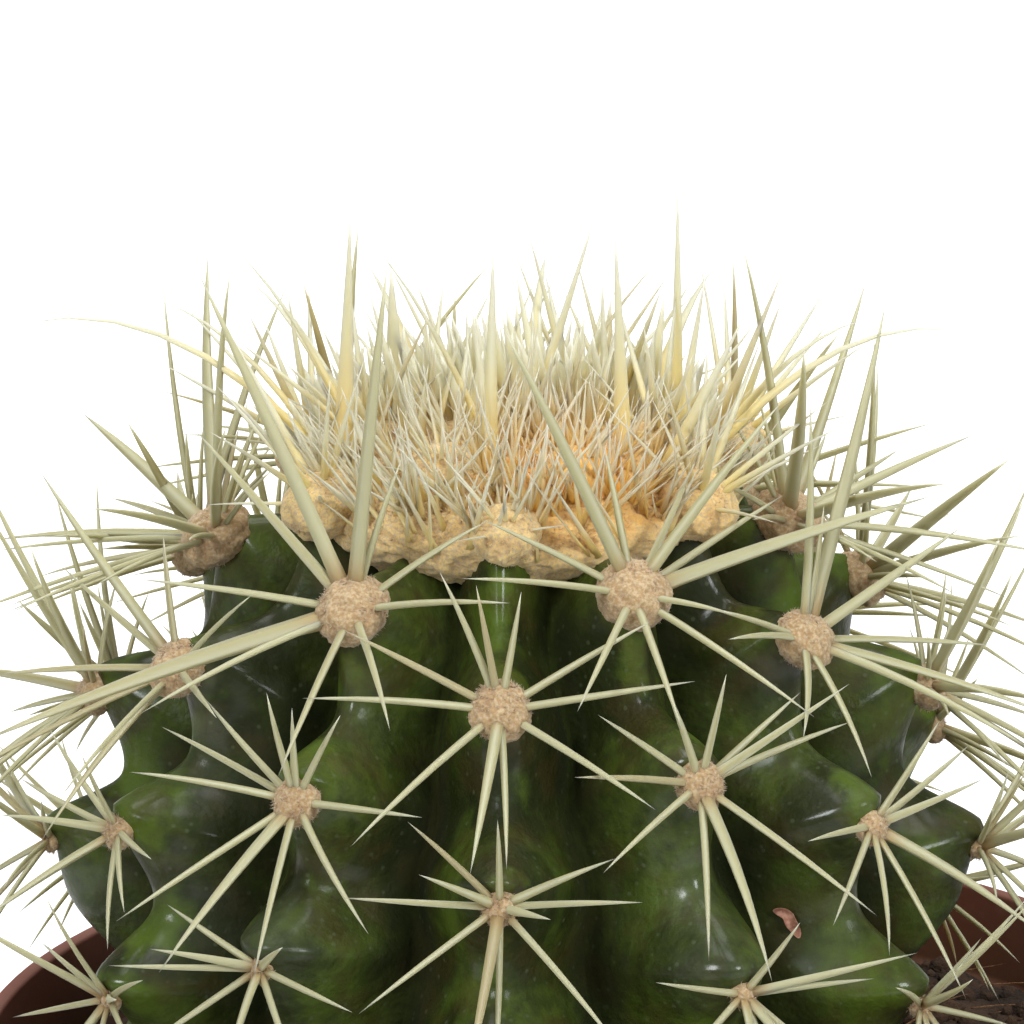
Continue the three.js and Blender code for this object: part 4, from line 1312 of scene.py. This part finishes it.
def areole_lines(plant, looks, rib, row):
    """The spines of an areole: the centrals, then the radials."""
    base = plant.areole_frame(*plant.areole_place(rib, row))
    radials, centrals = GROWN.get((rib, row)) or usual_spines(rib, row)
    seed = 31 * rib + 7 * row
    lines = []
    for i, (clock, lift, length) in enumerate(centrals):
        stout = next(share for least, share in STOUT_WHEN_LONG if length > least)
        lines.append(grow(
            plant, base, clock, lift, length * MM, width=looks.central_width * stout,
            taper=CENTRAL_TAPER, sag=0.12, bow=0.04 * spread(seed + i + 60), flat=0.6,
        ))
    for i, clock in enumerate(radials):
        lift = 16 + 5 * spread(seed + i)
        length = (20 - 3 * row) * (1 - 0.28 * math.cos(math.radians(clock))) * MM
        length *= 1 + 0.08 * spread(seed + i + 0.5)
        lines.append(grow(
            plant, base, clock, lift, length, width=looks.radial_width * (1.08 - 0.07 * row),
            taper=RADIAL_TAPER, sag=0.1, bow=0.05 * spread(seed + i + 30),
        ))
    return [line for line in lines if line]


def add_spines(gathering, lines, seed, glow=0.0):
    """Round tapering spines along the lines, with their tints. glow may be one for each."""
    template = needle_template(SPINE_SIDES, SPINE_RINGS)
    local = coordinates(template)
    chances = np.random.default_rng(seed)
    tone = chances.uniform(0, 1, (len(lines), 1))
    turns = np.arctan2(local[:, 1], local[:, 0])[None] + tone * 6.28  # each its own way round
    streak = 0.5 + 0.5 * np.sin(3 * turns + 2 * tone) * np.where(local[:, 2] < 1, 1, 0)[None]
    gathering.add(
        template, bend_needles(template, lines), along=local[None, :, 2], tone=tone,
        streak=streak, glow=glow,
    )


def clump(template, scale, seed, height):
    """A ball of matted wool with half-axes scale and lumps of some height. Gives its places
    and its hollows, from 0 to 1."""
    ball = coordinates(template)
    places = ball * scale
    shift = Vector((seed % 89, seed % 97, 0))  # so that no two tufts are lumped alike
    spots = [Vector(point) * 520 + shift for point in places]
    swell = np.array([lumps(spot, (0.7, 1), (0.5, 2.5), (0.35, 6)) for spot in spots])
    return places + unit(ball / scale) * (height * swell)[:, None], np.clip(-1.6 * swell, 0, 1)


def add_tuft(gathering, base, width, seed, fibres, looks, detail, glow=0.0):
    """A lobed tuft of wool set on the skin, with fibres standing out of it."""
    template = ball_template(detail)
    axes = np.stack([base["right"], base["crown"], base["out"]])
    scale = np.array([0.48, 0.52, 0.4]) * width
    shape, crease = clump(template, scale, seed, 0.06 * width)
    middle = base["at"] + base["out"] * 0.08 * width
    places = shape @ axes + middle
    # The hollows' mask: painted shade in the tuft's hollows.
    gathering.add(template, places[None], crease=0.4 * crease[None], glow=glow)
    chances = np.random.default_rng(seed + 5000)
    way = unit(chances.normal(size=(fibres, 3)) + [0, 0, 0.35])
    feet = (way * scale * 0.92) @ axes + middle
    lean = unit(way + chances.normal(scale=0.55, size=way.shape)) @ axes
    add_fibres(gathering, feet, lean, looks.fibre_length, looks, chances, glow)


def add_fibres(gathering, feet, ways, length, looks, chances, glow):
    """Fine curled fibres, each from its foot in its own way."""
    template = needle_template(FIBRE_SIDES, FIBRE_RINGS)
    lines = []
    for foot, way in zip(feet, ways):
        side = sideways(way, chances)
        lines.append(spine(
            foot, way, side, length * chances.uniform(0.5, 1.25),
            looks.fibre_width * chances.uniform(0.7, 1.3), 2.5, chances.uniform(-0.5, 0.5),
            chances.uniform(-0.5, 0.5), 0.9,
        ))
    gathering.add(template, bend_needles(template, lines), crease=0, glow=glow)


def areole_tuft(plant, looks, rib, row, seed):
    """An areole's tuft of wool, with more fibres the wider it is."""
    width = tuft_width(row)
    fibres = int(looks.tuft_fibres * (width / WIDE_TUFT) ** 2)
    base = plant.areole_frame(*plant.areole_place(rib, row))
    wool = Gathering()
    detail = 5 if row < 1.2 else 4
    add_tuft(wool, base, width, seed, fibres, looks, detail)
    return wool


class CACTUS_OT_areoles(bpy.types.Operator):
    """Builds each areole: its spines, and its tuft of wool"""

    bl_idname = "cactus.areoles"
    bl_label = "Areoles"

    def execute(self, context):
        settings = context.scene.cactus
        plant, looks = Plant(settings.body), settings.spines
        straw = spine_material("straw_spine", looks.straw, looks.pale, looks.base, 0.2, 1.4 * MM)
        fleece = wool_material(settings.wool, "areole_wool", settings.wool.old)
        for rib, row, number in areole_keys():
            mark = f"rib_{rib + HALF_RIBS + 1:02d}_row_{number}"
            seed = 1000 + 20 * (rib + HALF_RIBS) + number
            spines = Gathering()
            add_spines(spines, areole_lines(plant, looks, rib, row), seed)
            mesh = smooth(spines.make(f"areole_spines_{mark}"))
            finish_piece(mesh, straw, "straw_spine", f"spines_{mark}")
            tuft = areole_tuft(plant, settings.wool, rib, row, seed)
            mesh = smooth(tuft.make(f"areole_wool_{mark}"))
            finish_piece(mesh, fleece, "crown_wool", f"spines_{mark}")
        return {"FINISHED"}


# ---- Crown -----------------------------------------------------------------------------


def blade_line(plant, foot_x, foot_y, right, back, rise, width):
    """A blade stands on the wool above its foot."""
    latitude = math.degrees(math.acos(math.hypot(foot_x, foot_y) * MM / plant.radius))
    height = plant.outline(latitude)[1] - 1 * MM
    foot = np.array([BODY_X + foot_x * MM, foot_y * MM, height])
    reach = np.array([right, back, rise]) * MM
    length = np.linalg.norm(reach)
    up = np.array([0, 0, 1.0]) if math.hypot(right, back) > 0.5 * rise else np.array([0, -1.0, 0])
    bend = 4 * BLADE_BEND * math.hypot(right, back) * MM / length if up[2] else 0.02
    return spine(foot, reach / length, up, length, width * MM, BLADE_TAPER, bend, 0.01, 0.5)


def ring_lines(plant, looks, index):
    """Young spines of one ring of tufts."""
    latitude, ribs, _, count, length = CROWN_RINGS[index]
    for rib in ribs:
        base = crown_frame(plant, rib, latitude)
        seed = 53 * index + 11 * rib
        slight = 0.6 if abs(rib) < 2 else 1
        for i in range(count):
            outer = i % 3 == 0
            yield grow(
                plant, base, 360 * i / count + 14 * spread(seed + i),
                (30 if outer else 60) + 9 * spread(seed + i + 40),
                length * slight * (0.75 if outer else 1) * (1 + 0.15 * spread(seed + i + 80)),
                width=looks.central_width * slight * (0.42 if outer else 0.6), taper=1.8, sag=0.08,
            )


def crown_frame(plant, rib, latitude):
    """Frame of a tuft in the crown, a little above the skin."""
    base = plant.areole_frame(latitude, rib)
    return {**base, "at": base["at"] + base["out"] * 0.6 * MM}


def outward(turn):
    """The level direction at a turn round the plant."""
    return np.array([math.cos(turn), math.sin(turn), 0])


def young_spine(foot, along, up, length, width):
    """A flat spine of the crown, bent a little."""
    return spine(foot, along, up, length, width, BLADE_TAPER, 0.05, 0.03, 0.45)


def brush_lines(looks):
    """The crowd of young spines that fills the crown."""
    chances = np.random.default_rng(BRUSH_SEED)
    lines = []
    for i in range(BRUSH_TUFTS):
        reach = math.sqrt((i + 0.5) / BRUSH_TUFTS)
        out = outward(i * GOLDEN_TURN)
        height = felt_height(reach * BRUSH_RADIUS / FELT_RADIUS) - 1.5 * MM
        foot = np.array([BODY_X, 0, height]) + out * reach * BRUSH_RADIUS
        kind = FRONT_BRUSH if foot[1] < FRONT_OF_BRUSH else BACK_BRUSH
        for _ in range(kind["count"]):
            stray = chances.normal(scale=kind["stray"], size=3) * [1, 1, 0]
            along = unit(out * (0.08 + kind["lean"] * reach**2) + stray + [0, 0, 1])
            length = (11.5 - 2 * reach) * chances.uniform(0.6, kind["longest"]) * MM
            width = chances.uniform(*kind["width"]) * looks.central_width
            lines.append(young_spine(foot, along, sideways(along, chances), length, width))
    return lines


def fringe_lines(looks):
    """Young spines out of the front of the crown's wool."""
    chances = np.random.default_rng(FRINGE_SEED)
    lines = []
    for _ in range(FRINGE_SPINES):
        out = outward(math.radians(chances.uniform(*FRINGE_ARC)))
        share = chances.uniform(0.78, 1)
        foot = np.array([BODY_X, 0, felt_height(share) - 1 * MM]) + out * share * FELT_RADIUS
        stray = chances.normal(scale=0.35, size=3) * [1, 1, 0]
        along = unit(out * chances.uniform(0.15, 0.6) + stray + [0, 0, 1])
        up = sideways(along, chances)
        length = chances.uniform(6, 13) * MM
        width = chances.uniform(*FRONT_BRUSH["width"]) * looks.central_width
        lines.append(young_spine(foot, along, up, length, width))
    return lines


def heart_glow(points):
    """1 at the crown's heart, where the wool is youngest, and 0 away from it."""
    away = np.linalg.norm((points - np.array(HEART)) / [1, 1, 0.6], axis=-1)
    return np.clip(1.2 - away / (11 * MM), 0, 1)


def felt_height(share):
    """Height of the crown's wool at a share of its radius."""
    return FELT_TOP - FELT_HALF + FELT_HALF * math.sqrt(1 - min(1, share) ** 2)


class CACTUS_OT_crown_spines(bpy.types.Operator):
    """Builds the blades and young spines of the crown"""

    bl_idname = "cactus.crown_spines"
    bl_label = "Crown spines"

    def execute(self, context):
        looks = context.scene.cactus.spines
        plant = Plant(context.scene.cactus.body)
        lines = [blade_line(plant, *blade) for blade in BLADES]
        for index in range(len(CROWN_RINGS)):
            lines += [line for line in ring_lines(plant, looks, index) if line]
        gathering = Gathering()
        add_spines(gathering, lines, BLADE_SEED)
        crowd = brush_lines(looks) + fringe_lines(looks)
        feet = np.array([line["base"] for line in crowd])
        add_spines(gathering, crowd, CROWD_SEED, heart_glow(feet)[:, None])
        mesh = smooth(gathering.make("crown_spines"))
        material = spine_material(
            "young_spine", looks.young_straw, looks.young_pale, looks.young_base, 0.65, 2 * MM
        )
        finish_piece(mesh, material, "straw_spine", "crown_wool_and_spines")
        return {"FINISHED"}


def crown_felt():
    """The dome of matted wool."""
    bm = bmesh.new()
    bmesh.ops.create_uvsphere(bm, u_segments=FELT_COLUMNS, v_segments=FELT_ROWS, radius=1)
    dome = to_mesh(bm, "dome")
    shape, crease = clump(dome, FELT_SCALE, FELT_SEED, FELT_LUMPS)
    places = shape + FELT_MIDDLE
    wool = Gathering()
    # The hollows' mask: painted shade in the felt's hollows.
    wool.add(dome, places[None], crease=0.35 * crease[None], glow=heart_glow(places)[None])
    return wool


def crown_fuzz(looks):
    """The fibres that stand out of the felt."""
    chances = np.random.default_rng(FUZZ_SEED)
    ways = unit(chances.normal(size=(looks.crown_fibres, 3)))
    ways[:, 2] = np.abs(ways[:, 2])
    feet = ways * FELT_SCALE * 0.98 + FELT_MIDDLE
    lean = unit(ways + chances.normal(scale=0.35, size=ways.shape) + [0, 0, 0.3])
    wool = Gathering()
    glow = heart_glow(feet)[:, None]
    add_fibres(wool, feet, lean, FUZZ_LENGTH, looks, chances, glow)
    return wool


def crown_tufts(plant, looks):
    """The tufts of the two outer rings of the crown."""
    wool = Gathering()
    tufts = [(ring, rib) for ring in CROWN_RINGS[:2] for rib in ring[1]]
    for seed, ((latitude, _, width, *_), rib) in enumerate(tufts, CROWN_TUFT_SEED):
        base = crown_frame(plant, rib, latitude)
        size = width * (0.85 if rib == 0 else 1)
        glow = heart_glow(base["at"])
        add_tuft(wool, base, size, seed, CROWN_TUFT_FIBRES, looks, 5, glow)
    return wool


class CACTUS_OT_crown_wool(bpy.types.Operator):
    """Builds the felt of wool that fills the crown"""

    bl_idname = "cactus.crown_wool"
    bl_label = "Crown wool"

    def execute(self, context):
        looks = context.scene.cactus.wool
        plant = Plant(context.scene.cactus.body)
        material = wool_material(looks, "crown_wool", looks.crown)
        parts = {
            "crown_felt": crown_felt(),
            "crown_fuzz": crown_fuzz(looks),
            "crown_tufts": crown_tufts(plant, looks),
        }
        for name, wool in parts.items():
            mesh = smooth(wool.make(name))
            finish_piece(mesh, material, "crown_wool", "crown_wool_and_spines")
        return {"FINISHED"}


# ---- Husk ------------------------------------------------------------------------------


class CACTUS_OT_husk(bpy.types.Operator):
    """Lays a dry husk, hooked at its top, on the flank of a rib"""

    bl_idname = "cactus.husk"
    bl_label = "Husk"

    def execute(self, context):
        looks = context.scene.cactus.husk
        middle, along, side, out = self.lie(Plant(context.scene.cactus.body), looks)
        template = ball_template(4)
        up, across, through = coordinates(template).T
        hook = np.clip(up - 0.3, 0, 1)
        wide = looks.width / 2 * (1 + 1.1 * hook)
        lift = (0.35 + 0.9 * hook + 0.25 * np.cos(5 * up)) * MM
        places = (
            middle + along * (up * looks.length / 2)[:, None]
            + side * (across * wide - 1.1 * MM * hook)[:, None]
            + out * (through * 0.16 * MM + lift + 0.35 * MM * across**2)[:, None]
        )
        gathering = Gathering()
        gathering.add(template, places[None])
        material = new_material("dry_husk", lambda nodes: self.colour(nodes, looks), 0.8)
        finish_piece(smooth(gathering.make("shed_husk")), material, "peat")
        return {"FINISHED"}

    def lie(self, plant, looks):
        """Where the husk lies: its middle, and the directions up the rib, across and out."""
        spots = ((0, 0), (2.2, -0.024), (-2.2, 0.024), (0, 0.03), (0, -0.03))
        points = [self.skin(plant, looks, *spot) for spot in spots]
        along = unit(points[1] - points[2])
        out = unit(np.cross(points[3] - points[4], along))
        return points[0], along, np.cross(along, out), out

    def skin(self, plant, looks, rise, turn):
        """A point of the skin beside the husk's middle."""
        latitude, place = looks.latitude + rise, looks.place + turn
        return plant.skin_point(place, latitude, plant.depth_at(place, latitude))

    def colour(self, nodes, looks):
        """Brown with paler patches."""
        patches = nodes.mottle(nodes.place(), 1500, 3, 0.4, 0.6)
        return nodes.mix(patches, looks.husk, HUSK_PALE)


# ---- Stage -----------------------------------------------------------------------------

AIM = Vector((-8.3 * MM, 0, 147.6 * MM))
FLOOR_SIZE = 12.0
COOL_WHITE = (0.95, 0.98, 1)
ROOM_STRENGTH = 0.24


def add_light(name, place, power, width, height, colour=(1, 1, 1)):
    """A soft light aimed at the plant, with its power in watts and its size in metres."""
    lamp = bpy.data.lights.new(name, "AREA")
    lamp.shape, lamp.size, lamp.size_y = "RECTANGLE", width, height
    lamp.energy, lamp.color = power, colour
    holder = bpy.data.objects.new(name, lamp)
    holder.location = place
    holder.rotation_euler = (AIM - Vector(place)).to_track_quat("-Z", "Y").to_euler()
    bpy.context.scene.collection.objects.link(holder)
    return holder


class CACTUS_OT_stage(bpy.types.Operator):
    """Sets up the floor, the lights and the camera"""

    bl_idname = "cactus.stage"
    bl_label = "Stage"

    def execute(self, context):
        scene, looks = context.scene, context.scene.cactus.stage
        self.lay_floor(scene, looks)
        self.light(scene)
        self.aim_camera(scene, looks)
        return {"FINISHED"}

    def lay_floor(self, scene, looks):
        """White paper, which also glows where the camera sees it."""
        bm = bmesh.new()
        bmesh.ops.create_grid(bm, x_segments=1, y_segments=1, size=FLOOR_SIZE / 2)
        floor = bpy.data.objects.new("floor", to_mesh(bm, "floor"))
        scene.collection.objects.link(floor)
        paper = new_material(
            "floor_paper", lambda nodes: (*looks.floor, 1), 0.9, Specular_IOR_Level=0.0,
            Emission_Strength=0.7,
        )
        nodes = Nodes(paper.node_tree)
        seen = nodes.add("LightPath").outputs["Is Camera Ray"]
        nodes.feed(paper.node_tree.nodes["Principled BSDF"].inputs["Emission Color"], seen)
        floor.data.materials.append(paper)

    def light(self, scene):
        """A dim white room, two lights in front, one above and one behind."""
        world = bpy.data.worlds.new("studio")
        world.use_nodes = True
        room = world.node_tree.nodes["Background"]
        room.inputs["Color"].default_value = (1, 1, 1, 1)
        room.inputs["Strength"].default_value = ROOM_STRENGTH
        scene.world = world
        scene.view_settings.view_transform = "Standard"
        add_light("key", (-0.6, -0.85, 0.9), 7.8, 0.3, 0.42, COOL_WHITE)
        add_light("fill", (0.65, -0.8, 0.8), 8.4, 0.32, 0.45, COOL_WHITE)
        add_light("top", (0.0, 0.1, 1.2), 6, 0.8, 0.8)
        back_light = add_light("back", (0.0, 1.0, 0.7), 10, 1.2, 0.8)
        back_light.visible_camera = back_light.visible_glossy = False

    def aim_camera(self, scene, looks):
        """The camera of the photo."""
        camera = bpy.data.objects.new("camera", bpy.data.cameras.new("camera"))
        back = Vector((0, -math.cos(looks.pitch), math.sin(looks.pitch)))
        camera.location = AIM + back * looks.distance
        camera.rotation_euler = (math.pi / 2 - looks.pitch, 0, 0)
        camera.data.lens = looks.lens
        camera.data.clip_start, camera.data.clip_end = 0.02, 50
        scene.collection.objects.link(camera)
        scene.camera = camera


class CACTUS_PT_panel(bpy.types.Panel):
    """Lists the pieces and their settings"""

    bl_idname = "CACTUS_PT_panel"
    bl_label = "Potted Round Cactus"
    bl_space_type = "VIEW_3D"
    bl_region_type = "UI"
    bl_category = "Cactus"

    def draw(self, context):
        settings = context.scene.cactus
        for operator, part in STEPS:
            self.layout.operator(operator.bl_idname)
            looks = getattr(settings, part)
            for name in looks.__annotations__:
                self.layout.prop(looks, name)


STEPS = (
    (CACTUS_OT_stage, "stage"),
    (CACTUS_OT_pot, "pot"),
    (CACTUS_OT_soil, "soil"),
    (CACTUS_OT_body, "body"),
    (CACTUS_OT_areoles, "spines"),
    (CACTUS_OT_crown_wool, "wool"),
    (CACTUS_OT_crown_spines, "spines"),
    (CACTUS_OT_husk, "husk"),
)
CLASSES = (
    CactusPotSettings,
    CactusSoilSettings,
    CactusBodySettings,
    CactusSpineSettings,
    CactusWoolSettings,
    CactusHuskSettings,
    CactusStageSettings,
    CactusSettings,
    *(operator for operator, _ in STEPS),
    CACTUS_PT_panel,
)


def register():
    """Adds the add-on's classes and settings to Blender."""
    for cls in CLASSES:
        bpy.utils.register_class(cls)
    bpy.types.Scene.cactus = PointerProperty(type=CactusSettings)


def unregister():
    """Takes them out again."""
    del bpy.types.Scene.cactus
    for cls in reversed(CLASSES):
        bpy.utils.unregister_class(cls)


def main():
    """Builds every piece."""
    register()
    bpy.ops.cactus.stage()
    bpy.ops.cactus.pot()
    bpy.ops.cactus.soil()
    bpy.ops.cactus.body()
    bpy.ops.cactus.areoles()
    bpy.ops.cactus.crown_wool()
    bpy.ops.cactus.crown_spines()
    bpy.ops.cactus.husk()
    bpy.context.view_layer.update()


if __name__ == "__main__":
    main()
